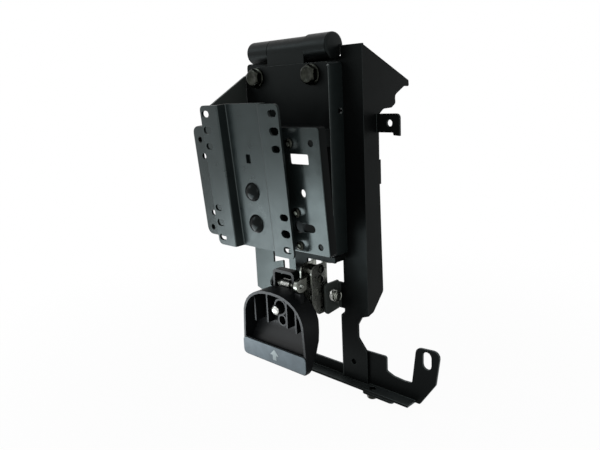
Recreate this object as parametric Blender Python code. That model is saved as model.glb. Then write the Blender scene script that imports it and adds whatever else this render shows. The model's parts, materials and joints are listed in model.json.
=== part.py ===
"""Hinged carrier bracket: a wall frame, a front plate that swings up, and a paddle latch."""
import math

import bmesh
import bpy
from mathutils import Matrix, Vector

MM = 0.001

# Clearances
GAP = 0.3 * MM            # between flat pieces that lie on one another
SLACK = 0.3 * MM          # round a fastener in its hole
RUN = 0.1 * MM            # round a pin that turns in its hole

# Sheet thicknesses
FRAME_SHEET = 2.0 * MM
TRAY_SHEET = 2.0 * MM
SCREEN_SHEET = 2.0 * MM
PAN_SHEET = 1.8 * MM
LATCH_SHEET = 1.5 * MM

# Fixed frame
FRAME_HALF = 65.3 * MM    # middle to the outside of a side panel
WEB_WIDTH = 24.3 * MM     # front web of an upright
PANEL_DEPTH = 18.5 * MM   # web front to the rear edge of a side panel
GUSSET_REACH = 58.7 * MM  # web front to the rear tip of the top gusset
HINGE_Z = 262.0 * MM      # hinge axis above the origin on the sill
SILL_FLANGE = 11.0 * MM
SILL_UNDER = 7.5 * MM     # underside of the sill below the origin
SILL_LIP = 12.3 * MM
SILL_OUT = 45.7 * MM      # end of the sill beyond the frame
EAR_OUT = 63.7 * MM       # end of the ear beyond the frame
EAR_TOP = 40.0 * MM
EAR_SLOT_W = 7.5 * MM
EAR_SLOT_H = 14.0 * MM
EAR_SLOT_IN = 11.5 * MM   # slot from the end of the ear
SILL_BOLT_OUT = 4.2 * MM
SILL_TAB_LEFT = 6.5 * MM
SILL_TAB_RIGHT = 23.0 * MM
HEADER_HEIGHT = 36.0 * MM
HEADER_RISE = 4.1 * MM    # header plate above the tray
LUG_REACH = 20.7 * MM
LUG_HEIGHT = 14.0 * MM
LUG_HOLE_R = 2.6 * MM
LEG_HOLE_IN = 16.3 * MM   # leg hole from the outside of the frame
TAB_DROP = 40.5 * MM      # foot of the stop tab below the tray
FINGER_X = 13.4 * MM      # end of the stop tab from the middle
NOTCH_IN = 10.9 * MM      # depth of the notch above the leg

# Hinge
BARREL_R = 9.0 * MM
RIGHT_R = 10.0 * MM       # right knuckle of the hinge
BARREL_IN = 4.2 * MM      # end of the barrel inside the tray's edge
KNUCKLE_HALF = 20.0 * MM  # half the length of the middle knuckle
PIN_R = 4.25 * MM
BUSH_R = 6.0 * MM
LEAF_SHEET = 2.5 * MM

# Swing tray
TRAY_IN = 18.8 * MM       # edge of the tray inside the edge of the frame
TRAY_HEIGHT = 148.0 * MM
TRAY_DEPTH = 15.7 * MM
WINDOW_IN = 16.5 * MM     # edge of the window inside the edge of the tray
WINDOW_HALF_H = 24.0 * MM
BOLT_IN = 16.0 * MM       # hinge bolt inside the edge of the tray
BOLT_DROP = 8.5 * MM      # bolt centre below the top edge of the tray
BOLT_R = 4.0 * MM
BOLT_FLATS = 13.0 * MM
WASHER_R = 8.0 * MM
WASHER_T = 1.6 * MM

# Front plates, leaning forward at the top
LEAN = math.radians(4.84)
SCREEN_OUT = 46.0 * MM    # tray face to the middle of the screen plate
SCREEN_DROP = 95.5 * MM   # hinge axis to the middle of the screen plate
SCREEN_HALF_W = 43.5 * MM
SCREEN_HALF_H = 56.5 * MM
SCREEN_STEP = 7.4 * MM    # depth of the channel down the middle
CHANNEL_HALF = 22.5 * MM
COLUMN_HALF = 37.5 * MM
SLOT_REACH = 1.7 * MM     # half the length the holes of the columns are drawn out
HOLE_R = 2.6 * MM
CENTRE_HOLE_R = 3.0 * MM
PAN_HALF_W = 70.5 * MM
PAN_TOP = 39.0 * MM
PAN_LOW = -54.0 * MM
PAN_LIP = 7.0 * MM
PAN_LEFT_R = 6.0 * MM
PAN_RIGHT_R = 2.2 * MM
DOME_X = -2.0 * MM
DOME_UP = -10.5 * MM
DOME_DOWN = -36.0 * MM
DOME_R = 7.5 * MM
DOME_H = 4.5 * MM
CHEEK_SHEET = 2.0 * MM
CHEEK_FLANGE = 13.5 * MM
GUSSET_LOW = -49.0 * MM
GUSSET_TOP = 55.0 * MM
GUSSET_FLANGE_TOP = 35.0 * MM
UPPER_LOW = 21.5 * MM
UPPER_TOP = 34.5 * MM
LOWER_LOW = -51.5 * MM
LOWER_TOP = -18.5 * MM
UPPER_ROW = 27.8 * MM
MIDDLE_ROW = -23.1 * MM
LOWER_ROW = -48.5 * MM
LEFT_ROW = -35.0 * MM

# Latch
STRIKER_BACK = 9.0 * MM   # striker behind the tray face
STRIKER_DROP = 35.0 * MM  # striker below the tray
STRIKER_R = 3.5 * MM
ROTOR_ARM = 9.5 * MM      # rotor axis to striker
ROTOR_WALL = 3.0 * MM
ROTOR_T = 4.0 * MM
MOUTH_SLACK = 0.6 * MM
LATCH_X0 = 17.2 * MM      # outside of the left latch plate
LATCH_X1 = 30.2 * MM      # outside of the right latch plate
LATCH_PIN_R = 2.5 * MM
LATCH_REAR = 3.0 * MM     # latch plates behind the striker
LATCH_AHEAD = 19.2 * MM   # latch plates ahead of the striker
LATCH_BELOW = 14.2 * MM   # latch plates below the striker
APRON_DROP = 4.7 * MM
ARM_OUT = 2.2 * MM        # striker arm beside the latch
PAWL_FRONT = 0.0 * MM     # pawl axis ahead of the tray face
PAWL_DROP = 20.0 * MM
EYE_R = 5.5 * MM
EYE_REACH = 18.1 * MM     # eye ahead of the pawl axis
EYE_DROP = 2.2 * MM       # eye below the pawl axis
HANGER_SHEET = 2.0 * MM

# Paddle
PADDLE_HALF = 37.7 * MM
PADDLE_X = 2.0 * MM       # middle of the shell beside the middle of the frame
PADDLE_TAPER = 2.2 * MM   # sides drawn in from foot to arch
ARCH_UP = 34.0 * MM       # spring of the arch above the foot
ARCH_POWER = 2.3          # 2 is an ellipse, more is squarer
PADDLE_TOP = 29.0 * MM    # top of the shell below the tray
PADDLE_LOW = 91.0 * MM    # foot of the shell below the tray
PADDLE_FRONT = 29.5 * MM  # front of the shell ahead of the tray face
PADDLE_WALL = 2.2 * MM
PADDLE_LIP = 16.0 * MM
PADDLE_BACK = 11.2 * MM   # back of the shell ahead of the tray face
RIB_IN = 13.7 * MM        # outer ribs inside the edge of the shell
RIB_HALF_T = 0.75 * MM
BOSS_UP = 44.5 * MM       # screw boss above the foot of the shell
RING_X = 2.4 * MM
RING_UP = 46.9 * MM       # ring round the screw boss above the foot
RING_R = 7.0 * MM
LOOP_X = 3.8 * MM
LOOP_UP = 35.6 * MM       # lower ring above the foot
LOOP_R = 5.2 * MM
RING_WALL = 1.4 * MM
AXLE_FRONT = 8.0 * MM     # paddle axle ahead of the tray face
AXLE_DROP = 28.0 * MM
AXLE_R = 2.5 * MM
YOKE_HALF = 12.4 * MM
YOKE_BAR = 2.4 * MM
EAR_HALF = 15.1 * MM

# Springs
STRIKER_WIRE_R = 0.4 * MM
STRIKER_COIL_R = 4.4 * MM
STRIKER_TURNS = 2
STRIKER_PITCH = 1.3 * MM
STRIKER_NUT_T = 1.8 * MM
AXLE_WIRE_R = 0.6 * MM
AXLE_COIL_R = 3.8 * MM
AXLE_TURNS = 5.25
AXLE_PITCH = 1.9 * MM

# Positions that follow from the sizes above
SILL_FRONT = -FRAME_SHEET
WEB_BACK = SILL_FRONT - GAP
WEB_FRONT = WEB_BACK - FRAME_SHEET
TRAY_BACK = WEB_FRONT - GAP
TRAY_FRONT = TRAY_BACK - TRAY_DEPTH
TRAY_INNER = TRAY_FRONT + TRAY_SHEET
HINGE_Y = WEB_FRONT - 5.1 * MM
TRAY_TOP = HINGE_Z - BARREL_R - 2.5 * MM
TRAY_LOW = TRAY_TOP - TRAY_HEIGHT
WEB_INNER = FRAME_HALF - WEB_WIDTH
TRAY_HALF = FRAME_HALF - TRAY_IN
BARREL_HALF = TRAY_HALF - BARREL_IN
WINDOW_HALF_W = TRAY_HALF - WINDOW_IN
BOLT_X = TRAY_HALF - BOLT_IN
SILL_RIGHT = FRAME_HALF + SILL_OUT
EAR_RIGHT = FRAME_HALF + EAR_OUT
EAR_SLOT_X = EAR_RIGHT - EAR_SLOT_IN
NOTCH_X = FRAME_HALF - NOTCH_IN
ARM_X = LATCH_X1 + ARM_OUT
RIB_X = PADDLE_HALF - RIB_IN
HEADER_TOP = HINGE_Z - BARREL_R - 2.5 * MM
HEADER_LOW = HEADER_TOP - HEADER_HEIGHT
SILL_LOW = -SILL_UNDER
SILL_TOP = SILL_LOW + SILL_FLANGE
SCREEN_Y = TRAY_FRONT - SCREEN_OUT
SCREEN_Z = HINGE_Z - SCREEN_DROP
WEB_D = SCREEN_STEP + SCREEN_SHEET
PAN_D = WEB_D + GAP
CHEEK_D = PAN_D + PAN_SHEET + GAP
CHEEK_Y = TRAY_FRONT - GAP
STRIKER_Y = TRAY_FRONT + STRIKER_BACK
STRIKER_Z = TRAY_LOW - STRIKER_DROP
ROTOR_Y = STRIKER_Y
ROTOR_Z = STRIKER_Z - ROTOR_ARM
PAWL_Y = TRAY_FRONT - PAWL_FRONT
PAWL_Z = TRAY_LOW - PAWL_DROP
AXLE_Y = TRAY_FRONT - AXLE_FRONT
AXLE_Z = TRAY_LOW - AXLE_DROP
HANGER_FRONT = TRAY_FRONT + 1.0 * MM
HANGER_BACK = HANGER_FRONT + HANGER_SHEET
HANGER_TOP = TRAY_LOW - GAP
FLANGE_TOP = HANGER_TOP - HANGER_SHEET - GAP
LATCH_MID = (LATCH_X0 + LATCH_X1) / 2
ROTOR_X0 = LATCH_MID - ROTOR_T / 2 + 0.7 * MM
ROTOR_X1 = ROTOR_X0 + ROTOR_T
BOLT_Z = TRAY_TOP - BOLT_DROP
SHELL_FRONT = TRAY_FRONT - PADDLE_FRONT
SHELL_TOP = TRAY_LOW - PADDLE_TOP
SHELL_LOW = TRAY_LOW - PADDLE_LOW


def clear_scene():
    for item in list(bpy.data.objects):
        bpy.data.objects.remove(item, do_unlink=True)


# Outlines
def circle(a, b, radius, steps=16, turn=0.0):
    points = []
    for i in range(steps):
        angle = turn + 2 * math.pi * i / steps
        points.append((a + radius * math.cos(angle), b + radius * math.sin(angle)))
    return points


def arc(a, b, radius, start, end, steps):
    points = []
    for i in range(steps + 1):
        angle = math.radians(start + (end - start) * i / steps)
        points.append((a + radius * math.cos(angle), b + radius * math.sin(angle)))
    return points


def rounded(corners, steps=4):
    """Outline through corners (a, b) or (a, b, radius), each radius turned as an arc."""
    points = []
    count = len(corners)
    for i, corner in enumerate(corners):
        here = Vector(corner[:2])
        radius = corner[2] if len(corner) > 2 else 0.0
        if radius <= 0.0:
            points.append((here.x, here.y))
            continue
        before = (Vector(corners[i - 1][:2]) - here).normalized()
        after = (Vector(corners[(i + 1) % count][:2]) - here).normalized()
        half = before.angle(after) / 2
        reach = radius / math.tan(half)
        middle = here + (before + after).normalized() * (radius / math.sin(half))
        first = here + before * reach - middle
        last = here + after * reach - middle
        sweep = first.angle_signed(last)
        for k in range(steps + 1):
            spoke = first.copy()
            spoke.rotate(Matrix.Rotation(-sweep * k / steps, 2))
            points.append((middle.x + spoke.x, middle.y + spoke.y))
    return points


def box_outline(a0, b0, a1, b1, radius=0.0, steps=3):
    return rounded([(a0, b0, radius), (a1, b0, radius), (a1, b1, radius), (a0, b1, radius)], steps)


def slot_outline(a0, b0, a1, b1, radius, steps=6):
    """Outline of a slot between two centres."""
    angle = math.degrees(math.atan2(b1 - b0, a1 - a0))
    first = arc(a1, b1, radius, angle - 90, angle + 90, steps)
    second = arc(a0, b0, radius, angle + 90, angle + 270, steps)
    return first + second


def hexagon(a, b, flats):
    return circle(a, b, flats / math.sqrt(3), 6, math.pi / 6)


def mirrored(outline):
    return [(-a, b) for a, b in reversed(outline)]


# Solids
def place(axis, a, b, c):
    """Point of an outline drawn across the given axis, at c along it."""
    if axis == "X":
        return (c, a, b)
    if axis == "Y":
        return (a, c, b)
    return (a, b, c)


def prism(outline, holes, axis, low, high):
    bm = bmesh.new()
    for loop in [outline] + holes:
        ring = [bm.verts.new(place(axis, a, b, low)) for a, b in loop]
        for i, vert in enumerate(ring):
            bm.edges.new((ring[i - 1], vert))
    direction = Vector(place(axis, 0.0, 0.0, 1.0))
    bmesh.ops.triangle_fill(bm, use_beauty=True, edges=bm.edges[:], normal=direction)
    grown = bmesh.ops.extrude_face_region(bm, geom=bm.faces[:])
    moved = [item for item in grown["geom"] if isinstance(item, bmesh.types.BMVert)]
    bmesh.ops.translate(bm, verts=moved, vec=direction * (high - low))
    bmesh.ops.recalc_face_normals(bm, faces=bm.faces[:])
    return bm


def block(x0, x1, y0, y1, z0, z1):
    return prism([(x0, z0), (x1, z0), (x1, z1), (x0, z1)], [], "Y", y0, y1)


def lathe(profile, axis, a, b, steps=16):
    """Solid of revolution: profile (along, radius) pairs about an axis through a, b."""
    bm = bmesh.new()
    verts = [bm.verts.new(place(axis, a + r, b, c)) for c, r in profile]
    for first, second in zip(verts, verts[1:]):
        bm.edges.new((first, second))
    bmesh.ops.spin(bm, geom=bm.verts[:] + bm.edges[:], cent=place(axis, a, b, 0.0),
                   axis=place(axis, 0.0, 0.0, 1.0), angle=2 * math.pi, steps=steps,
                   use_merge=True, use_duplicate=False)
    bmesh.ops.remove_doubles(bm, verts=bm.verts[:], dist=0.000002)
    bmesh.ops.dissolve_degenerate(bm, edges=bm.edges[:], dist=0.000002)
    bmesh.ops.recalc_face_normals(bm, faces=bm.faces[:])
    return bm


def collect(parts):
    """Several separate solids in one mesh."""
    whole = bmesh.new()
    for part in parts:
        mesh = bpy.data.meshes.new("piece")
        part.to_mesh(mesh)
        part.free()
        whole.from_mesh(mesh)
        bpy.data.meshes.remove(mesh)
    return whole


def material(name, colour, roughness, metallic):
    made = bpy.data.materials.get(name)
    if made is None:
        made = bpy.data.materials.new(name)
        made.use_nodes = True
        shader = made.node_tree.nodes["Principled BSDF"]
        shader.inputs["Base Color"].default_value = (*colour, 1.0)
        shader.inputs["Roughness"].default_value = roughness
        shader.inputs["Metallic"].default_value = metallic
    return made


FINISH = {
    "black": ((0.012, 0.013, 0.014), 0.38, 0.0),
    "plate": ((0.11, 0.125, 0.125), 0.5, 0.0),
    "zinc": ((0.56, 0.56, 0.53), 0.35, 1.0),
    "bolt": ((0.05, 0.055, 0.055), 0.42, 0.6),
    "resin": ((0.014, 0.015, 0.016), 0.45, 0.0),
    "label": ((0.17, 0.2, 0.2), 0.5, 0.0),
    "bush": ((0.55, 0.53, 0.47), 0.5, 0.0),
    "spring": ((0.5, 0.5, 0.48), 0.3, 1.0),
}


def finish(obj, kind):
    colour, roughness, metallic = FINISH[kind]
    obj.data.materials.append(material(obj.name + "_finish", colour, roughness, metallic))


def node(name, bm, kind, parent=None, origin=None):
    """One named piece of the assembly."""
    mesh = bpy.data.meshes.new(name)
    if origin is not None:
        bmesh.ops.translate(bm, verts=bm.verts[:], vec=-Vector(origin))
    bm.to_mesh(mesh)
    bm.free()
    obj = bpy.data.objects.new(name, mesh)
    bpy.context.collection.objects.link(obj)
    finish(obj, kind)
    if origin is not None:
        obj.location = origin
    if parent is not None:
        obj.parent = parent
    mesh.shade_smooth()
    mesh.set_sharp_from_angle(angle=math.radians(32))
    return obj


def nodes(name, solids, kind, parent=None):
    """Like pieces, numbered from one."""
    for number, bm in enumerate(solids, 1):
        node(name + "_" + str(number), bm, kind, parent)


def tool(obj, bm, operation):
    """Cut, add or intersect a solid with a piece."""
    mesh = bpy.data.meshes.new("tool")
    bm.to_mesh(mesh)
    bm.free()
    shape = bpy.data.objects.new("tool_" + obj.name, mesh)
    bpy.context.collection.objects.link(shape)
    shape.parent = obj.parent
    shape.hide_render = True
    shape.display_type = "WIRE"
    step = obj.modifiers.new("step", "BOOLEAN")
    step.operation = operation
    step.solver = "EXACT"
    step.object = shape


def cut(obj, bm):
    tool(obj, bm, "DIFFERENCE")


def add(obj, bm):
    tool(obj, bm, "UNION")


# Fasteners
def rivet(axis, a, b, front, back, radius, head_r, head_h):
    """Rivet with a domed head in front and a flat one behind."""
    profile = [(front - head_h, 0.0), (front - head_h, head_r * 0.45), (front - head_h * 0.55, head_r * 0.85),
               (front, head_r), (front, radius), (back, radius), (back, head_r * 0.85),
               (back + head_h * 0.8, head_r * 0.8), (back + head_h * 0.8, 0.0)]
    return lathe(profile, axis, a, b, 12)


def flush_rivet(axis, a, b, front, back, radius, head_r, head_h):
    profile = [(front, 0.0), (front, radius), (back, radius), (back, head_r),
               (back + head_h * 0.7, head_r * 0.8), (back + head_h, 0.0)]
    return lathe(profile, axis, a, b, 12)


def headed_pin(a, b, x0, x1, radius, head_r, head_h):
    """Pin along X, headed outside both plates it joins."""
    profile = [(x0 - head_h, 0.0), (x0 - head_h, head_r * 0.8), (x0, head_r), (x0, radius),
               (x1, radius), (x1, head_r), (x1 + head_h, head_r * 0.8), (x1 + head_h, 0.0)]
    return lathe(profile, "X", a, b, 16)


def hex_bolt(axis, a, b, head, face, end, radius, flats):
    """Hexagon bolt: head from head to face, shank from face to end."""
    bm = prism(hexagon(a, b, flats), [], axis, head, face)
    caps = [f for f in bm.faces if all(abs(v.co.dot(Vector(place(axis, 0, 0, 1))) - face) < 1e-7
                                      for v in f.verts)]
    bmesh.ops.delete(bm, geom=caps, context="FACES")
    ring = [bm.verts.new(place(axis, p, q, face)) for p, q in circle(a, b, radius, 12)]
    edges = [bm.edges.new((ring[i - 1], ring[i])) for i in range(12)]
    rim = [e for e in bm.edges if e.is_boundary]
    tip = bmesh.ops.extrude_edge_only(bm, edges=edges)
    top = [item for item in tip["geom"] if isinstance(item, bmesh.types.BMVert)]
    bmesh.ops.translate(bm, verts=top, vec=Vector(place(axis, 0, 0, end - face)))
    bmesh.ops.contextual_create(bm, geom=top)
    bmesh.ops.triangle_fill(bm, use_beauty=True, edges=rim + edges,
                            normal=Vector(place(axis, 0.0, 0.0, 1.0)))
    bmesh.ops.recalc_face_normals(bm, faces=bm.faces[:])
    return bm


def hex_nut(axis, a, b, low, high, radius, flats):
    return prism(hexagon(a, b, flats), [circle(a, b, radius, 12)], axis, low, high)


# Springs
def wire(name, points, radius, kind):
    """One unbroken round wire through the points."""
    curve = bpy.data.curves.new(name, "CURVE")
    curve.dimensions = "3D"
    curve.bevel_depth = radius
    curve.bevel_resolution = 1
    curve.use_fill_caps = True
    line = curve.splines.new("POLY")
    line.points.add(len(points) - 1)
    for point, place_at in zip(line.points, points):
        point.co = (*place_at, 1.0)
    line.use_smooth = True
    obj = bpy.data.objects.new(name, curve)
    bpy.context.collection.objects.link(obj)
    finish(obj, kind)
    gap = least_gap(points, radius)
    print(name, "least gap to itself mm", round(gap / MM, 3))
    return obj


def least_gap(points, radius):
    """Smallest clear distance between lengths of wire that are not neighbours."""
    spots = [Vector(p) for p in points]
    along = [0.0]
    for first, second in zip(spots, spots[1:]):
        along.append(along[-1] + (second - first).length)
    least = 1.0
    for i, first in enumerate(spots):
        for j in range(i + 1, len(spots)):
            if along[j] - along[i] > 8 * radius:
                least = min(least, (spots[j] - first).length - 2 * radius)
    return least


# Fixed frame
def upright(name, side):
    """L section upright; side is 1 on the right and -1 on the left."""
    top = HINGE_Z
    notch_x = BARREL_HALF + 3.2 * MM
    notch_z = HINGE_Z - RIGHT_R + 1.0 * MM
    leg_low = SILL_LOW + FRAME_SHEET + GAP
    head = [(notch_x, top), (FRAME_HALF, top)]
    tail = [(WEB_INNER, notch_z, 1 * MM), (notch_x, notch_z, 1 * MM)]
    if side < 0:
        top = HINGE_Z - 24.0 * MM
        head = [(WEB_INNER, top), (FRAME_HALF, top)]
        tail = stop_tab()
    web = rounded(head + [
        (FRAME_HALF, 53.5 * MM), (NOTCH_X + 4.1 * MM, 51.0 * MM, 3 * MM),
        (NOTCH_X, 44.0 * MM, 3 * MM), (NOTCH_X, 33.0 * MM, 4 * MM),
        (FRAME_HALF - 2.3 * MM, 22.5 * MM, 2 * MM), (FRAME_HALF - 2.3 * MM, leg_low),
        (WEB_INNER - 4.0 * MM, leg_low), (WEB_INNER - 4.0 * MM, 49.0 * MM, 2 * MM),
        (WEB_INNER, 52.5 * MM, 2 * MM)] + tail)
    holes = [circle(FRAME_HALF - LEG_HOLE_IN, 10.5 * MM, 2.5 * MM, 12)]
    for z in rivet_heights():
        holes.append(circle(rivet_x(), z, 2.0 * MM + SLACK, 12))
    if side < 0:
        web = mirrored(web)
        holes = [mirrored(h) for h in holes]
    obj = node(name, prism(web, holes, "Y", WEB_FRONT, WEB_BACK), "black")
    rear = WEB_FRONT + PANEL_DEPTH
    tip = WEB_FRONT + GUSSET_REACH
    panel = rounded([
        (WEB_FRONT, top), (tip, top - 27.3 * MM, 1.5 * MM), (tip + 0.3 * MM, top - 32.0 * MM, 1 * MM),
        (tip - 6.0 * MM, top - 31.7 * MM, 2 * MM), (tip - 18.7 * MM, top - 38.2 * MM, 3 * MM),
        (tip - 18.0 * MM, top - 44.5 * MM, 2 * MM), (tip - 23.2 * MM, top - 47.5 * MM, 2 * MM),
        (rear + 6.5 * MM, top - 47.9 * MM, 4 * MM), (rear + 0.2 * MM, top - 52.0 * MM, 3 * MM),
        (rear, top - 86.0 * MM), (rear + 1.8 * MM, top - 86.0 * MM), (rear + 1.8 * MM, top - 105.0 * MM),
        (rear, top - 105.0 * MM), (rear + 2.0 * MM, 69.5 * MM, 3 * MM), (2.7 * MM, 55.0 * MM, 4 * MM),
        (WEB_FRONT, 53.5 * MM)], 2)
    outer = FRAME_HALF * side
    inner = (FRAME_HALF - FRAME_SHEET) * side
    add(obj, prism(panel, [], "X", min(outer, inner), max(outer, inner)))
    lug_low = HINGE_Z - 65.0 * MM
    lug_high = lug_low + LUG_HEIGHT
    lug_end = FRAME_HALF + LUG_REACH
    lug = rounded([
        (FRAME_HALF - FRAME_SHEET, lug_low), (lug_end - 6.0 * MM, lug_low, 1 * MM),
        (lug_end - 5.5 * MM, lug_low - 2.0 * MM), (lug_end, lug_low - 2.4 * MM),
        (lug_end, lug_high, 3 * MM), (FRAME_HALF - FRAME_SHEET, lug_high)])
    bore = circle(lug_end - 9.0 * MM, (lug_low + lug_high) / 2, LUG_HOLE_R, 12)
    if side < 0:
        lug = mirrored(lug)
        bore = mirrored(bore)
    add(obj, prism(lug, [bore], "Y", rear - FRAME_SHEET - 0.8 * MM, rear - 0.8 * MM))
    if side > 0:
        add(obj, striker_arm())
        if WEB_INNER > ARM_X:
            add(obj, block(ARM_X, WEB_INNER + FRAME_SHEET, WEB_FRONT, WEB_BACK, STRIKER_Z - 12.5 * MM,
                           STRIKER_Z + 9.5 * MM))
    return obj


def stop_tab():
    """Tab with a finger that reaches in from the left upright under the tray."""
    foot = TRAY_LOW - TAB_DROP
    return [
        (WEB_INNER, foot), (FINGER_X, foot, 2 * MM), (FINGER_X, TRAY_LOW - 6.5 * MM, 1.5 * MM),
        (FINGER_X + 7.8 * MM, TRAY_LOW - 6.5 * MM, 1.5 * MM), (FINGER_X + 7.8 * MM, foot + 12.0 * MM, 1.5 * MM),
        (FINGER_X + 15.3 * MM, foot + 12.0 * MM, 1.5 * MM), (FINGER_X + 15.3 * MM, foot + 22.6 * MM, 1 * MM),
        (WEB_INNER, foot + 19.2 * MM)]


def striker_arm():
    """Arm bent forward from the inner edge of the right upright."""
    high = STRIKER_Z + 10.5 * MM
    low = STRIKER_Z - 15.5 * MM
    front = STRIKER_Y - 8.0 * MM
    arm = rounded([
        (WEB_BACK - 0.6 * MM, high), (front, high, 3 * MM), (front, low, 3 * MM),
        (WEB_BACK - 0.6 * MM, low + 2.0 * MM)])
    bore = circle(STRIKER_Y, STRIKER_Z, thread_r() + SLACK, 16)
    return prism(arm, [bore], "X", ARM_X, ARM_X + FRAME_SHEET)


def rivet_x():
    return WEB_INNER + 3.8 * MM


def rivet_heights():
    return [(HEADER_LOW + HEADER_TOP) / 2]


def leaf_screw_spots():
    return [(x * MM, HEADER_LOW + 11.5 * MM) for x in (-22.0, 22.0)]


def thread_r():
    return STRIKER_R - 0.3 * MM


def header():
    half = FRAME_HALF - FRAME_SHEET - GAP
    holes = [circle(x, z, 2.2 * MM + SLACK, 12) for x, z in leaf_screw_spots()]
    for z in rivet_heights():
        holes.append(circle(rivet_x(), z, 2.0 * MM + SLACK, 12))
        holes.append(circle(-rivet_x(), z, 2.0 * MM + SLACK, 12))
    outline = box_outline(-half, HEADER_LOW, half, HEADER_TOP + HEADER_RISE, 3 * MM)
    node("header_plate", prism(outline, holes, "Y", SILL_FRONT, 0.0), "black")
    rivets = []
    for x in (-rivet_x(), rivet_x()):
        for z in rivet_heights():
            rivets.append(flush_rivet("Y", x, z, WEB_FRONT, GAP, 2.0 * MM, 3.6 * MM, 1.4 * MM))
    nodes("header_rivet", rivets, "black")


def sill():
    left = -FRAME_HALF
    heel = FRAME_HALF + 15.2 * MM
    flange = rounded([
        (left, SILL_LOW), (SILL_RIGHT, SILL_LOW, 2 * MM), (EAR_RIGHT - 4.0 * MM, 12.5 * MM, 4 * MM),
        (EAR_RIGHT, EAR_TOP, 5 * MM), (EAR_RIGHT - 21.0 * MM, EAR_TOP - 1.5 * MM, 5 * MM),
        (EAR_RIGHT - 25.0 * MM, 8.0 * MM, 2 * MM), (EAR_RIGHT - 32.5 * MM, 7.5 * MM, 6 * MM),
        (heel + 6.5 * MM, 8.3 * MM, 6 * MM), (heel, 10.8 * MM, 1.5 * MM), (heel, 23.0 * MM, 2 * MM),
        (WEB_INNER - 1.0 * MM, 22.0 * MM, 2 * MM),
        (WEB_INNER - 1.0 * MM, SILL_TOP, 1 * MM), (left, SILL_TOP, 3 * MM)])
    mid = EAR_TOP - 10.0 * MM
    reach = EAR_SLOT_H / 2 - EAR_SLOT_W / 2
    slot = slot_outline(EAR_SLOT_X, mid - reach, EAR_SLOT_X, mid + reach, EAR_SLOT_W / 2)
    obj = node("sill_angle", prism(flange, [slot], "Y", SILL_FRONT, 0.0), "black")
    right = SILL_RIGHT - 4.0 * MM
    lip = [(left, -SILL_LIP), (right, -SILL_LIP), (right, -0.7 * MM), (left, -0.7 * MM)]
    bore = circle(*sill_bolt_spot(), 2.5 * MM + SLACK, 12)
    add(obj, prism(lip, [bore], "Z", SILL_LOW, SILL_LOW + FRAME_SHEET))
    x, y = sill_bolt_spot()
    low = SILL_LOW - GAP - FRAME_SHEET
    tab = box_outline(x - SILL_TAB_LEFT, -SILL_LIP, x + SILL_TAB_RIGHT, -FRAME_SHEET / 2, 2 * MM, 2)
    node("sill_tab", prism(tab, [bore], "Z", low, SILL_LOW - GAP), "black")
    top = SILL_LOW + FRAME_SHEET
    bolt = hex_bolt("Z", x, y, low - GAP - 3.5 * MM, low - GAP, top, 2.5 * MM, 8.0 * MM)
    node("sill_bolt", bolt, "bolt")


def sill_bolt_spot():
    return FRAME_HALF + SILL_BOLT_OUT, -SILL_LIP / 2 - 0.6 * MM


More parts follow.
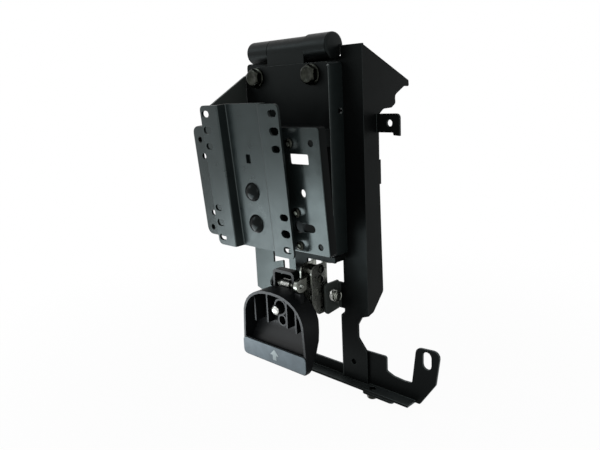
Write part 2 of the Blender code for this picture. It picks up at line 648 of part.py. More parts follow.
# Hinge
def hinge():
    half = min(WEB_INNER - GAP, BARREL_HALF - 1.6 * MM)
    inner = KNUCKLE_HALF + GAP
    low = HEADER_LOW + 4.0 * MM
    rise = HINGE_Z - 1.0 * MM
    plate = [(-half, low), (half, low), (half, rise), (inner, rise), (inner, HEADER_TOP),
             (-inner, HEADER_TOP), (-inner, rise), (-half, rise)]
    holes = [circle(x, z, 2.2 * MM + SLACK, 12) for x, z in leaf_screw_spots()]
    leaf = node("fixed_leaf", prism(plate, holes, "Y", WEB_FRONT, WEB_BACK), "black")
    tube = circle(HINGE_Y, HINGE_Z, BARREL_R, 32)
    bore = circle(HINGE_Y, HINGE_Z, PIN_R + RUN, 32)
    add(leaf, prism(circle(HINGE_Y, HINGE_Z, RIGHT_R, 32), [bore], "X", inner, BARREL_HALF))
    add(leaf, prism(tube, [bore], "X", -BARREL_HALF, -inner))
    screws = []
    for x, z in leaf_screw_spots():
        face = WEB_FRONT - GAP
        profile = [(face - 2.0 * MM, 0.0), (face - 2.0 * MM, 3.0 * MM), (face - 1.2 * MM, 4.0 * MM),
                   (face, 4.0 * MM), (face, 2.2 * MM), (1.5 * MM, 2.2 * MM), (2.2 * MM, 1.5 * MM),
                   (2.2 * MM, 0.0)]
        screws.append(lathe(profile, "Y", x, z, 12))
    nodes("leaf_screw", screws, "bolt")
    pin = lathe([(-BARREL_HALF, 0.0), (-BARREL_HALF, PIN_R), (BARREL_HALF, PIN_R), (BARREL_HALF, 0.0)],
                "X", HINGE_Y, HINGE_Z, 32)
    node("hinge_pin", pin, "zinc")
    for name, side, r in (("hinge_cap_left", -1, BARREL_R), ("hinge_cap_right", 1, RIGHT_R)):
        start = (BARREL_HALF + GAP) * side
        profile = [(start, 0.0), (start, r), (start + 1.0 * MM * side, r - 0.4 * MM),
                   (start + 1.7 * MM * side, r - 2.0 * MM), (start + 1.9 * MM * side, 0.0)]
        node(name, lathe(profile, "X", HINGE_Y, HINGE_Z, 24), "black")
    middle = KNUCKLE_HALF
    front = TRAY_INNER + GAP
    back = front + LEAF_SHEET
    lower = TRAY_TOP - 22.0 * MM
    neck = HINGE_Z - 2.2 * MM
    wide = TRAY_HALF - TRAY_SHEET - 4.5 * MM
    plate = [(-wide, lower), (wide, lower), (wide, TRAY_TOP - 1.0 * MM), (middle, TRAY_TOP - 1.0 * MM),
             (middle, neck), (-middle, neck), (-middle, TRAY_TOP - 1.0 * MM), (-wide, TRAY_TOP - 1.0 * MM)]
    holes = [circle(x, BOLT_Z, BOLT_R + SLACK, 12) for x in (-BOLT_X, BOLT_X)]
    swing = node("swing_leaf", prism(plate, holes, "Y", front, back), "black")
    bore = circle(HINGE_Y, HINGE_Z, BUSH_R + RUN, 32)
    add(swing, prism(tube, [bore], "X", -middle, middle))
    ring = prism(circle(HINGE_Y, HINGE_Z, BUSH_R, 32), [circle(HINGE_Y, HINGE_Z, PIN_R + RUN, 32)],
                 "X", -middle + GAP, middle - GAP)
    node("hinge_bush", ring, "bush")


def hinge_fasteners():
    back = TRAY_INNER + GAP + LEAF_SHEET
    face = TRAY_FRONT - GAP
    under = face - WASHER_T - GAP
    bolts = []
    washers = []
    nuts = []
    for x in (-BOLT_X, BOLT_X):
        bolts.append(hex_bolt("Y", x, BOLT_Z, under - 4.3 * MM, under, back + 8.0 * MM, BOLT_R, BOLT_FLATS))
        washers.append(prism(circle(x, BOLT_Z, WASHER_R, 24), [circle(x, BOLT_Z, BOLT_R + SLACK, 12)],
                             "Y", face - WASHER_T, face))
        nuts.append(hex_nut("Y", x, BOLT_Z, back + GAP, back + 6.8 * MM, BOLT_R + SLACK, BOLT_FLATS))
    nodes("hinge_bolt", bolts, "bolt")
    nodes("hinge_washer", washers, "bolt")
    nodes("hinge_nut", nuts, "zinc")


# Swing tray and what stands on it
def tray_rivet_spots():
    mid = TRAY_HALF - 8.0 * MM
    return [(-mid, SCREEN_Z - 3.0 * MM), (mid, SCREEN_Z + 29.0 * MM), (mid, SCREEN_Z - 36.0 * MM)]


def hanger_screw_spots():
    y = TRAY_FRONT + TRAY_DEPTH / 2 + 0.4 * MM
    return [(LATCH_X0 - 7.0 * MM, y), (LATCH_X1 + 4.0 * MM, y)]


def tray():
    t = TRAY_SHEET
    outline = rounded([
        (-TRAY_HALF, TRAY_LOW, 3 * MM), (TRAY_HALF, TRAY_LOW, 3 * MM), (TRAY_HALF, TRAY_TOP, 3 * MM),
        (-TRAY_HALF + 14.5 * MM, TRAY_TOP), (-TRAY_HALF, TRAY_TOP - 6.0 * MM)])
    shell = prism(outline, [], "Y", TRAY_FRONT, TRAY_BACK)
    front = [e for e in shell.edges if all(abs(v.co.y - TRAY_FRONT) < 1e-7 for v in e.verts)
             and any(abs(f.normal.y) < 0.5 for f in e.link_faces)
             and min(v.co.z for v in e.verts) < TRAY_TOP - 7.0 * MM]
    bmesh.ops.bevel(shell, geom=front, offset=2.2 * MM, segments=2, affect="EDGES", profile=0.5)
    obj = node("swing_tray", shell, "black")
    inner = rounded([
        (-TRAY_HALF + t, TRAY_LOW + t, 1 * MM), (TRAY_HALF - t, TRAY_LOW + t, 1 * MM),
        (TRAY_HALF - t, TRAY_TOP + 9 * MM), (-TRAY_HALF + t, TRAY_TOP + 9 * MM)])
    cut(obj, prism(inner, [], "Y", TRAY_INNER, TRAY_BACK + 5 * MM))
    window = box_outline(-WINDOW_HALF_W, SCREEN_Z - WINDOW_HALF_H, WINDOW_HALF_W,
                         SCREEN_Z + WINDOW_HALF_H, 6 * MM)
    openings = [prism(window, [], "Y", TRAY_FRONT - 5 * MM, TRAY_INNER + 3 * MM)]
    for x in (-BOLT_X, BOLT_X):
        openings.append(prism(circle(x, BOLT_Z, BOLT_R + SLACK, 12), [], "Y",
                              TRAY_FRONT - 5 * MM, TRAY_INNER + 3 * MM))
    for x, z in tray_rivet_spots():
        openings.append(prism(circle(x, z, 2.0 * MM + SLACK, 12), [], "Y",
                              TRAY_FRONT - 5 * MM, TRAY_INNER + 3 * MM))
    for x, y in hanger_screw_spots():
        openings.append(prism(circle(x, y, 2.0 * MM + SLACK, 12), [], "Z",
                              TRAY_LOW - 5 * MM, TRAY_LOW + 5 * MM))
    openings.append(prism(circle(TRAY_BACK - 3.7 * MM, TRAY_TOP - 36.0 * MM, 2.5 * MM, 12), [], "X",
                          TRAY_HALF - 5 * MM, TRAY_HALF + 5 * MM))
    cut(obj, collect(openings))


def lean_frame():
    """Empty that carries the front plates: x across, y into the wall, z up the plate."""
    frame = bpy.data.objects.new("lean_frame", None)
    bpy.context.collection.objects.link(frame)
    frame.location = (0.0, SCREEN_Y, SCREEN_Z)
    frame.rotation_euler = (LEAN, 0.0, 0.0)
    return frame


def lean_point(depth, up):
    """World Y and Z of a point at a depth behind the screen plate and a height on it."""
    y = SCREEN_Y + depth * math.cos(LEAN) - up * math.sin(LEAN)
    z = SCREEN_Z + depth * math.sin(LEAN) + up * math.cos(LEAN)
    return y, z


def leaning(bm):
    turn = Matrix.Translation((0.0, SCREEN_Y, SCREEN_Z)) @ Matrix.Rotation(LEAN, 4, "X")
    bmesh.ops.transform(bm, matrix=turn, verts=bm.verts[:])
    return bm


def pan_rivet_rows(side):
    if side > 0:
        return [UPPER_ROW, MIDDLE_ROW, LOWER_ROW]
    return [UPPER_ROW, LEFT_ROW]


def pan_rivet_x():
    return TRAY_HALF - 5.0 * MM


def cheeks():
    """Side plates that stand the front plates off the tray face."""
    t = CHEEK_SHEET
    pieces = [
        ("left_gusset", -1, GUSSET_LOW, GUSSET_TOP, GUSSET_LOW, GUSSET_FLANGE_TOP),
        ("upper_standoff", 1, UPPER_LOW, UPPER_TOP, UPPER_LOW, UPPER_TOP),
        ("lower_standoff", 1, LOWER_LOW, LOWER_TOP, LOWER_LOW, LOWER_TOP)]
    for name, side, low, high, flange_low, flange_high in pieces:
        y0, z0 = lean_point(CHEEK_D, low)
        y1, z1 = lean_point(CHEEK_D, high)
        back_high = z1
        if side < 0:
            back_high = TRAY_TOP - 6.0 * MM
        outline = [(CHEEK_Y, z0), (CHEEK_Y, back_high), (y1, z1), (y0, z0)]
        x0 = TRAY_HALF * side
        x1 = (TRAY_HALF - t) * side
        obj = node(name, prism(outline, [], "X", min(x0, x1), max(x0, x1)), "black")
        near = (TRAY_HALF - 0.5 * t) * side
        far = (TRAY_HALF - CHEEK_FLANGE) * side
        flange = [(near, flange_low), (near, flange_high), (far, flange_high), (far, flange_low)]
        if name == "lower_standoff":
            step = (TRAY_HALF - t - 0.3 * MM) * side
            flange = [(near, flange_low), (near, flange_high), (far, flange_high), (far, -28.0 * MM),
                      (step, -28.0 * MM), (step, -40.0 * MM), (far, -40.0 * MM), (far, flange_low)]
        holes = []
        for row in pan_rivet_rows(side):
            if flange_low < row < flange_high:
                holes.append(circle(pan_rivet_x() * side, row, 2.0 * MM + SLACK, 12))
        add(obj, leaning(prism(flange, holes, "Y", CHEEK_D, CHEEK_D + t)))
        top = min(z1, SCREEN_Z + 40.0 * MM)
        base = [(near, z0), (near, top), (far, top), (far, z0)]
        holes = [circle(x, z, 2.0 * MM + SLACK, 12) for x, z in tray_rivet_spots()
                 if x * side > 0 and z0 < z < top]
        add(obj, prism(base, holes, "Y", CHEEK_Y - t, CHEEK_Y))
    rivets = []
    for x, z in tray_rivet_spots():
        rivets.append(rivet("Y", x, z, CHEEK_Y - t - GAP, TRAY_INNER + GAP, 2.0 * MM, 3.5 * MM, 1.5 * MM))
    nodes("standoff_rivet", rivets, "bolt")


def mid_plate(frame):
    outline = rounded([(-PAN_HALF_W, PAN_LOW, PAN_LEFT_R), (PAN_HALF_W, PAN_LOW, PAN_RIGHT_R),
                       (PAN_HALF_W, PAN_TOP, PAN_RIGHT_R), (-PAN_HALF_W, PAN_TOP, PAN_LEFT_R)])
    shell = prism(outline, [], "Y", PAN_D, PAN_D + PAN_LIP)
    front = [e for e in shell.edges if all(abs(v.co.y - PAN_D) < 1e-7 for v in e.verts)
             and any(abs(f.normal.y) < 0.5 for f in e.link_faces)]
    bmesh.ops.bevel(shell, geom=front, offset=1.2 * MM, segments=2, affect="EDGES", profile=0.5)
    obj = node("mid_plate", shell, "plate", frame)
    t = PAN_SHEET
    left_r = PAN_LEFT_R - t
    right_r = max(PAN_RIGHT_R - t, 0.3 * MM)
    inner = rounded([(-PAN_HALF_W + t, PAN_LOW + t, left_r), (PAN_HALF_W - t, PAN_LOW + t, right_r),
                     (PAN_HALF_W - t, PAN_TOP - t, right_r), (-PAN_HALF_W + t, PAN_TOP - t, left_r)])
    cut(obj, prism(inner, [], "Y", PAN_D + t, PAN_D + PAN_LIP + 5 * MM))
    cheek = TRAY_HALF - CHEEK_SHEET
    relief = [(-TRAY_HALF - 1.5 * MM, PAN_TOP - 4 * MM), (-cheek + 1.5 * MM, PAN_TOP - 4 * MM),
              (-cheek + 1.5 * MM, PAN_TOP + 4 * MM), (-TRAY_HALF - 1.5 * MM, PAN_TOP + 4 * MM)]
    openings = [prism(relief, [], "Y", PAN_D + t, PAN_D + PAN_LIP + 5 * MM)]
    far = PAN_HALF_W - 8.5 * MM
    spots = [(far, PAN_TOP - 11 * MM), (-far, PAN_TOP - 11 * MM), (far, PAN_LOW + 7 * MM),
             (-far, PAN_LOW + 7 * MM), (-59.8 * MM, 14.4 * MM), (-58.6 * MM, -33.9 * MM)]
    loops = [circle(x, z, HOLE_R, 12) for x, z in spots]
    for side in (-1, 1):
        loops += [circle(pan_rivet_x() * side, row, 2.0 * MM + SLACK, 12) for row in pan_rivet_rows(side)]
    loops += [circle(DOME_X, z, BOLT_R + SLACK, 12) for z in (DOME_UP, DOME_DOWN)]
    loops.append(box_outline(40.0 * MM, 12.6 * MM, 58.5 * MM, 20.2 * MM, 1 * MM, 2))
    loops.append(slot_outline(49.7 * MM, -8.6 * MM, 49.7 * MM, -7.9 * MM, 2.8 * MM))
    loops.append(arc(42.5 * MM, -34.0 * MM, 4.5 * MM, 42, 318, 12)
                 + arc(55.5 * MM, -34.0 * MM, 3.0 * MM, -90, 90, 6))
    for loop in loops:
        openings.append(prism(loop, [], "Y", PAN_D - 3 * MM, PAN_D + t + 1 * MM))
    cut(obj, collect(openings))
    rivets = []
    for side in (-1, 1):
        for row in pan_rivet_rows(side):
            rivets.append(rivet("Y", pan_rivet_x() * side, row, PAN_D - GAP, CHEEK_D + CHEEK_SHEET + GAP,
                                2.0 * MM, 3.6 * MM, 1.6 * MM))
    nodes("mid_rivet", rivets, "bolt", frame)


def screen_plate(frame):
    t = SCREEN_SHEET
    w = SCREEN_HALF_W
    c = CHANNEL_HALF
    s = SCREEN_STEP
    section = rounded([
        (-w, 0.0), (-c, 0.0, 1.5 * MM), (-c + 2 * MM, s, 1 * MM), (c - 2 * MM, s, 1 * MM), (c, 0.0, 1.5 * MM),
        (w, 0.0), (w, t), (c + 1.5 * MM, t, 1 * MM), (c - 0.5 * MM, s + t, 1.5 * MM),
        (-c + 0.5 * MM, s + t, 1.5 * MM), (-c - 1.5 * MM, t, 1 * MM), (-w, t)], 3)
    obj = node("screen_plate", prism(section, [], "Z", -SCREEN_HALF_H, SCREEN_HALF_H), "plate", frame)
    openings = []
    for side in (-1, 1):
        for row, radius in ((50.0, HOLE_R), (37.5, CENTRE_HOLE_R), (25.0, HOLE_R)):
            for z in (row * MM, -row * MM):
                slot = slot_outline((COLUMN_HALF - SLOT_REACH) * side, z,
                                    (COLUMN_HALF + SLOT_REACH) * side, z, radius)
                openings.append(prism(slot, [], "Y", -3 * MM, t + 1 * MM))
    slot = box_outline(DOME_X - 2.5 * MM, 11.5 * MM, DOME_X + 2.5 * MM, 18.5 * MM, 0.6 * MM, 2)
    openings.append(prism(slot, [], "Y", s - 3 * MM, s + t + 3 * MM))
    for z in (DOME_UP, DOME_DOWN):
        openings.append(prism(circle(DOME_X, z, BOLT_R + SLACK, 12), [], "Y", s - 3 * MM, s + t + 3 * MM))
    for side in (-1, 1):
        for z in (-SCREEN_HALF_H, SCREEN_HALF_H):
            openings.append(corner_cut(w * side, z, 4 * MM, t))
    cut(obj, collect(openings))
    bolts = []
    nuts = []
    face = s - GAP
    back = PAN_D + PAN_SHEET + GAP
    for z in (DOME_UP, DOME_DOWN):
        profile = [(face - DOME_H, 0.0), (face - DOME_H * 0.94, DOME_R * 0.35),
                   (face - DOME_H * 0.76, DOME_R * 0.66), (face - DOME_H * 0.42, DOME_R * 0.9),
                   (face, DOME_R), (face, BOLT_R),
                   (back + 8.0 * MM, BOLT_R), (back + 8.0 * MM, 0.0)]
        bolts.append(lathe(profile, "Y", DOME_X, z, 24))
        nuts.append(hex_nut("Y", DOME_X, z, back, back + 6.5 * MM, BOLT_R + SLACK, BOLT_FLATS))
    nodes("carriage_bolt", bolts, "plate", frame)
    nodes("carriage_nut", nuts, "zinc", frame)


def corner_cut(x, z, radius, t):
    """Solid that rounds one outer corner of the screen plate."""
    sx = 1 if x > 0 else -1
    sz = 1 if z > 0 else -1
    centre_x = x - radius * sx
    centre_z = z - radius * sz
    points = []
    for i in range(5):
        angle = math.radians(90 * i / 4)
        points.append((centre_x + radius * sx * math.cos(angle), centre_z + radius * sz * math.sin(angle)))
    points += [(centre_x, z + 3 * MM * sz), (x + 3 * MM * sx, z + 3 * MM * sz), (x + 3 * MM * sx, centre_z)]
    return prism(points, [], "Y", -3 * MM, t + 1 * MM)


# Latch
def hanger():
    low = AXLE_Z - 12.0 * MM
    shelf = AXLE_Z + 8.0 * MM
    apron_low = HANGER_TOP - APRON_DROP
    right = TRAY_HALF - 1.0 * MM
    left = LATCH_X0 - 15.2 * MM
    apron = [(left, HANGER_TOP), (right, HANGER_TOP), (right, apron_low), (EAR_HALF, apron_low),
             (EAR_HALF, low), (-EAR_HALF, low), (-EAR_HALF, shelf), (left, shelf)]
    obj = node("latch_hanger", prism(apron, [], "Y", HANGER_FRONT, HANGER_BACK), "black")
    holes = [circle(x, y, 2.0 * MM + SLACK, 12) for x, y in hanger_screw_spots()]
    flange = [(left, HANGER_BACK - 0.7 * MM), (right, HANGER_BACK - 0.7 * MM), (right, TRAY_BACK - 1.5 * MM),
              (left, TRAY_BACK - 1.5 * MM)]
    add(obj, prism(flange, holes, "Z", HANGER_TOP - HANGER_SHEET, HANGER_TOP))
    inside = right - 0.4 * MM
    add(obj, block(inside - HANGER_SHEET, inside, HANGER_FRONT + 0.7 * MM, TRAY_BACK - 1.9 * MM,
                   apron_low + 0.3 * MM, HANGER_TOP - 0.6 * MM))
    reach = ear_reach()
    for side in (-1, 1):
        ear = [(HANGER_FRONT + 0.7 * MM, AXLE_Z - 7 * MM), (HANGER_FRONT + 0.7 * MM, AXLE_Z + 4 * MM)]
        ear += arc(AXLE_Y, AXLE_Z, reach, 90, 270, 8)
        bore = circle(AXLE_Y, AXLE_Z, AXLE_R + SLACK, 16)
        x0 = EAR_HALF * side
        x1 = (EAR_HALF - HANGER_SHEET) * side
        add(obj, prism(ear, [bore], "X", min(x0, x1), max(x0, x1)))
    screws = []
    under = FLANGE_TOP - LATCH_SHEET - GAP
    for x, y in hanger_screw_spots():
        end = TRAY_LOW + TRAY_SHEET + 2.5 * MM
        screws.append(hex_bolt("Z", x, y, under - 2.8 * MM, under, end, 2.0 * MM, 7.0 * MM))
    nodes("hanger_screw", screws, "zinc")


def ear_reach():
    return AXLE_R + 3.0 * MM


def spacer_spot():
    return STRIKER_Y - 7.5 * MM, TRAY_LOW - 12.0 * MM


def latch_plates():
    rear = STRIKER_Y + LATCH_REAR
    neck = HANGER_BACK + GAP + 0.3 * MM
    step = HANGER_TOP - APRON_DROP - 2.5 * MM
    front = STRIKER_Y - LATCH_AHEAD
    low = STRIKER_Z - LATCH_BELOW
    shoulder = STRIKER_Y - 0.7 * MM
    outline = rounded([
        (neck, FLANGE_TOP), (shoulder, FLANGE_TOP), (shoulder, STRIKER_Z + 10.0 * MM),
        (rear, STRIKER_Z + 7.0 * MM, 1 * MM), (rear, low, 2 * MM), (front + 7 * MM, low, 3 * MM),
        (front, low + 6 * MM, 2 * MM), (front, step, 6 * MM), (neck, step)], 3)
    pins = [(ROTOR_Y, ROTOR_Z), (PAWL_Y, PAWL_Z), spacer_spot()]
    holes = [circle(y, z, LATCH_PIN_R + SLACK, 16) for y, z in pins]
    mouth = STRIKER_R + MOUTH_SLACK
    for name, x0, x1 in (("latch_plate_left", LATCH_X0, LATCH_X0 + LATCH_SHEET),
                         ("latch_plate_right", LATCH_X1 - LATCH_SHEET, LATCH_X1)):
        obj = node(name, prism(outline, holes, "X", x0, x1), "zinc")
        a = x0 - 12.0 * MM
        b = x0 + LATCH_SHEET / 2
        if x0 > LATCH_MID:
            a = x1 - LATCH_SHEET / 2
            b = x1 + 8.0 * MM
        bores = [circle(x, y, 2.0 * MM + SLACK, 12) for x, y in hanger_screw_spots() if a < x < b]
        flange = [(a, neck), (b, neck), (b, rear), (a, rear)]
        add(obj, prism(flange, bores, "Z", FLANGE_TOP - LATCH_SHEET, FLANGE_TOP))
        slot = slot_outline(STRIKER_Y, STRIKER_Z, STRIKER_Y + 20 * MM, STRIKER_Z, mouth, 8)
        cut(obj, prism(slot, [], "X", x0 - 3 * MM, x1 + 3 * MM))
    outer = (LATCH_X0 - GAP, LATCH_X1 + GAP)
    node("rotor_pin", headed_pin(ROTOR_Y, ROTOR_Z, *outer, LATCH_PIN_R, 3.4 * MM, 1.4 * MM), "zinc")
    node("pawl_pin", headed_pin(PAWL_Y, PAWL_Z, *outer, LATCH_PIN_R, 3.4 * MM, 1.4 * MM), "zinc")
    node("latch_spacer", headed_pin(*spacer_spot(), *outer, LATCH_PIN_R, 3.4 * MM, 1.4 * MM), "zinc")


def rotor():
    """Claw that turns round the striker."""
    y = ROTOR_Y
    z = ROTOR_Z
    half = STRIKER_R + 0.5 * MM
    hub = ROTOR_ARM - half
    inside = ROTOR_ARM + half
    outside = inside + ROTOR_WALL
    outline = arc(y, z, outside, 103, 172, 10)
    outline += arc(y, z, hub, 172, 500, 24)
    outline += [(y + ROTOR_ARM * math.cos(math.radians(155)), z + ROTOR_ARM * math.sin(math.radians(155)))]
    outline += arc(y, z, inside, 149, 103, 7)
    bore = circle(y, z, LATCH_PIN_R + RUN, 24)
    node("rotor", prism(outline, [bore], "X", ROTOR_X0, ROTOR_X1), "zinc", None, (ROTOR_X0, y, z))


def pawl():
    """Lever whose nose drops behind the claw and whose eye the paddle lifts."""
    rim = ROTOR_ARM + STRIKER_R + 0.5 * MM + ROTOR_WALL + 0.45 * MM
    tip = (ROTOR_Y + rim * math.cos(math.radians(140)), ROTOR_Z + rim * math.sin(math.radians(140)))
    eye_y = PAWL_Y - EYE_REACH
    eye_z = PAWL_Z - EYE_DROP
    outline = arc(PAWL_Y, PAWL_Z, 5.0 * MM, -60, 105, 10)
    outline += arc(eye_y, eye_z, EYE_R, 80, 300, 14)
    outline += [(eye_y + 7.0 * MM, PAWL_Z - 5.6 * MM), (tip[0] - 3.6 * MM, PAWL_Z - 7.0 * MM),
                (tip[0] - 3.6 * MM, tip[1] + 0.6 * MM), tip]
    holes = [circle(PAWL_Y, PAWL_Z, LATCH_PIN_R + RUN, 24), circle(eye_y, eye_z, 2.0 * MM, 12)]
    node("pawl", prism(outline, holes, "X", ROTOR_X0, ROTOR_X1), "zinc", None, (ROTOR_X0, PAWL_Y, PAWL_Z))


def striker():
    x = ARM_X
    collar = x - GAP
    end = ROTOR_X0 - 2.0 * MM
    seat = x + FRAME_SHEET + GAP
    straight = 2 * STRIKER_WIRE_R
    length = STRIKER_TURNS * STRIKER_PITCH
    nut_low = seat + 2 * straight + length + GAP
    nut_high = nut_low + STRIKER_NUT_T
    tip = nut_high + 0.4 * MM
    profile = [(end, 0.0), (end, STRIKER_R - 0.8 * MM), (end + 0.8 * MM, STRIKER_R),
               (collar - 0.8 * MM, STRIKER_R), (collar - 0.8 * MM, 5.2 * MM), (collar, 5.2 * MM),
               (collar, thread_r()), (tip, thread_r()), (tip, 0.0)]
    node("striker_pin", lathe(profile, "X", STRIKER_Y, STRIKER_Z, 24), "zinc")
    rim = STRIKER_COIL_R + STRIKER_WIRE_R
    nut = prism(circle(STRIKER_Y, STRIKER_Z, rim, 24), [circle(STRIKER_Y, STRIKER_Z, thread_r() + SLACK, 24)],
                "X", nut_low, nut_high)
    node("striker_nut", nut, "zinc")
    points = [(seat, STRIKER_Y + STRIKER_COIL_R, STRIKER_Z)]
    count = STRIKER_TURNS * 10
    for i in range(count + 1):
        angle = 2 * math.pi * i / 10
        points.append((seat + straight + STRIKER_PITCH * i / 10,
                       STRIKER_Y + STRIKER_COIL_R * math.cos(angle),
                       STRIKER_Z + STRIKER_COIL_R * math.sin(angle)))
    last = points[-1]
    points.append((last[0] + straight, last[1], last[2]))
    wire("striker_spring", points, STRIKER_WIRE_R, "spring")


# Paddle
def shell_side(inset, front):
    """Side view of the paddle shell, drawn in by the inset."""
    back = TRAY_FRONT - PADDLE_BACK - inset
    return [
        (front, SHELL_TOP - inset), (front, SHELL_LOW + inset), (SHELL_FRONT + 2.6 * MM, SHELL_LOW + inset),
        (back - 6.5 * MM, SHELL_LOW + 14.5 * MM + inset), (back - 2.1 * MM, SHELL_LOW + 24.5 * MM),
        (back - 0.8 * MM, SHELL_LOW + 32.0 * MM), (back, SHELL_LOW + 42.0 * MM), (back, SHELL_TOP - inset)]


def shell_face(inset, foot):
    """Front view of the paddle shell: straight foot, sides drawn in, arched top."""
    half = PADDLE_HALF - inset
    span = half - PADDLE_TAPER
    spring = SHELL_LOW + ARCH_UP
    rise = SHELL_TOP - inset - spring
    low = SHELL_LOW + inset
    corners = [(PADDLE_X - half, low, foot), (PADDLE_X + half, low, foot)]
    for i in range(17):
        angle = math.pi * i / 16
        across = abs(math.cos(angle)) ** (2 / ARCH_POWER) * math.copysign(span, math.cos(angle))
        corners.append((PADDLE_X + across, spring + rise * math.sin(angle) ** (2 / ARCH_POWER)))
    return rounded(corners, 5)


def paddle():
    w = PADDLE_WALL
    obj = node("paddle", prism(shell_face(0.0, 4 * MM), [], "Y", SHELL_FRONT, TRAY_FRONT), "resin")
    obj.location = (0.0, AXLE_Y, AXLE_Z)
    obj.data.transform(Matrix.Translation((0.0, -AXLE_Y, -AXLE_Z)))
    side = shell_side(0.0, SHELL_FRONT - 5 * MM)
    far_left = PADDLE_X - PADDLE_HALF - 5 * MM
    far_right = PADDLE_X + PADDLE_HALF + 5 * MM
    tool(obj, prism(side, [], "X", far_left, far_right), "INTERSECT")
    hollow = shell_face(w, 2.5 * MM)
    pocket = bpy.data.meshes.new("pocket")
    bm = prism(hollow, [], "Y", SHELL_FRONT - 5 * MM, TRAY_FRONT)
    bm.to_mesh(pocket)
    bm.free()
    core = bpy.data.objects.new("tool_pocket", pocket)
    bpy.context.collection.objects.link(core)
    core.hide_render = True
    core.display_type = "WIRE"
    lip_top = SHELL_LOW + PADDLE_LIP
    inner = shell_side(w, SHELL_FRONT - 9 * MM)
    inner = [inner[0], (SHELL_FRONT - 9 * MM, lip_top), (SHELL_FRONT + w, lip_top),
             (SHELL_FRONT + w, SHELL_LOW + w + 1.0 * MM)] + inner[3:]
    tool(core, prism(inner, [], "X", far_left, far_right), "INTERSECT")
    step = obj.modifiers.new("step", "BOOLEAN")
    step.operation = "DIFFERENCE"
    step.solver = "EXACT"
    step.object = core
    back = TRAY_FRONT - PADDLE_BACK - w / 2
    ribs = ((-RIB_X, 12.0, 10.5), (-RIB_X / 2, 9.0, 3.5), (RIB_X * 0.45, 9.0, 2.5), (RIB_X, 12.0, 7.5))
    for x, front, drop in ribs:
        add(obj, block(x - RIB_HALF_T, x + RIB_HALF_T, back - front * MM, back,
                       SHELL_LOW + 30.5 * MM, SHELL_TOP - drop * MM))
    seat = screw_seat()
    add(obj, prism(circle(0.0, SHELL_LOW + BOSS_UP, 4.6 * MM, 16),
                   [circle(0.0, SHELL_LOW + BOSS_UP, 2.1 * MM, 12)], "Y", seat, back + 0.6 * MM))
    add(obj, prism(circle(RING_X, SHELL_LOW + RING_UP, RING_R, 28),
                   [circle(RING_X, SHELL_LOW + RING_UP, RING_R - RING_WALL, 28)], "Y",
                   seat + 2.6 * MM, back + 0.2 * MM))
    add(obj, prism(circle(LOOP_X, SHELL_LOW + LOOP_UP, LOOP_R, 24, 0.1),
                   [circle(LOOP_X, SHELL_LOW + LOOP_UP, LOOP_R - RING_WALL, 24, 0.1)], "Y",
                   seat + 3 * MM, back - 0.3 * MM))
    yoke_top = AXLE_Z + 12.8 * MM
    yoke_low = AXLE_Z - 10.0 * MM
    ring = box_outline(-YOKE_HALF, yoke_low, YOKE_HALF, yoke_top, 4 * MM, 4)
    space = box_outline(-YOKE_HALF + YOKE_BAR, yoke_low + YOKE_BAR, YOKE_HALF - YOKE_BAR, yoke_top - YOKE_BAR,
                        2 * MM, 3)
    add(obj, prism(ring, [space], "Y", AXLE_Y - 4.5 * MM, AXLE_Y + 3.0 * MM))
    tab_top = PAWL_Z - EYE_DROP - EYE_R - 0.35 * MM
    eye_y = PAWL_Y - EYE_REACH
    add(obj, block(ROTOR_X0 - 1.0 * MM, ROTOR_X1 + 1.0 * MM, eye_y - 3.0 * MM, eye_y + 1.0 * MM,
                   SHELL_TOP - 9.0 * MM, tab_top))
    bore = prism(circle(AXLE_Y, AXLE_Z, AXLE_R + RUN, 24), [], "X", -YOKE_HALF - 5 * MM, YOKE_HALF + 5 * MM)
    free = YOKE_HALF - YOKE_BAR + 0.3 * MM
    coil = circle(AXLE_Y, AXLE_Z, AXLE_COIL_R + AXLE_WIRE_R + 0.6 * MM, 20)
    reliefs = [bore, prism(coil, [], "X", -free, free)]
    near = YOKE_HALF + 0.3 * MM
    far = EAR_HALF + 2.3 * MM
    for x0, x1 in ((near, far), (-far, -near)):
        reliefs.append(prism(circle(AXLE_Y, AXLE_Z, ear_reach() + 1.2 * MM, 20), [], "X", x0, x1))
    for relief in reliefs:
        cut(obj, relief)
    screw_z = SHELL_LOW + BOSS_UP
    face_y = seat - GAP
    profile = [(face_y - 2.4 * MM, 0.0), (face_y - 2.1 * MM, 2.0 * MM), (face_y - 1.2 * MM, 3.6 * MM),
               (face_y, 4.2 * MM), (face_y, 1.8 * MM), (back - w / 2 - GAP, 1.8 * MM),
               (back - w / 2 - GAP, 0.0)]
    node("paddle_screw", lathe(profile, "Y", 0.0, screw_z, 16), "zinc", None, (0.0, AXLE_Y, AXLE_Z))
    label = box_outline(PADDLE_X - PADDLE_HALF + 1 * MM, SHELL_LOW + 1.0 * MM, PADDLE_X + PADDLE_HALF - 1 * MM,
                        SHELL_LOW + PADDLE_LIP - 0.5 * MM, 3 * MM)
    strip = prism(label, [], "Y", SHELL_FRONT - GAP - 0.8 * MM, SHELL_FRONT - GAP)
    node("label_strip", strip, "label", None, (0.0, AXLE_Y, AXLE_Z))
    head = EAR_HALF + GAP
    node("paddle_pin", headed_pin(AXLE_Y, AXLE_Z, -head, head, AXLE_R, 3.8 * MM, 0.8 * MM), "zinc")


def screw_seat():
    return SHELL_FRONT + 7.0 * MM


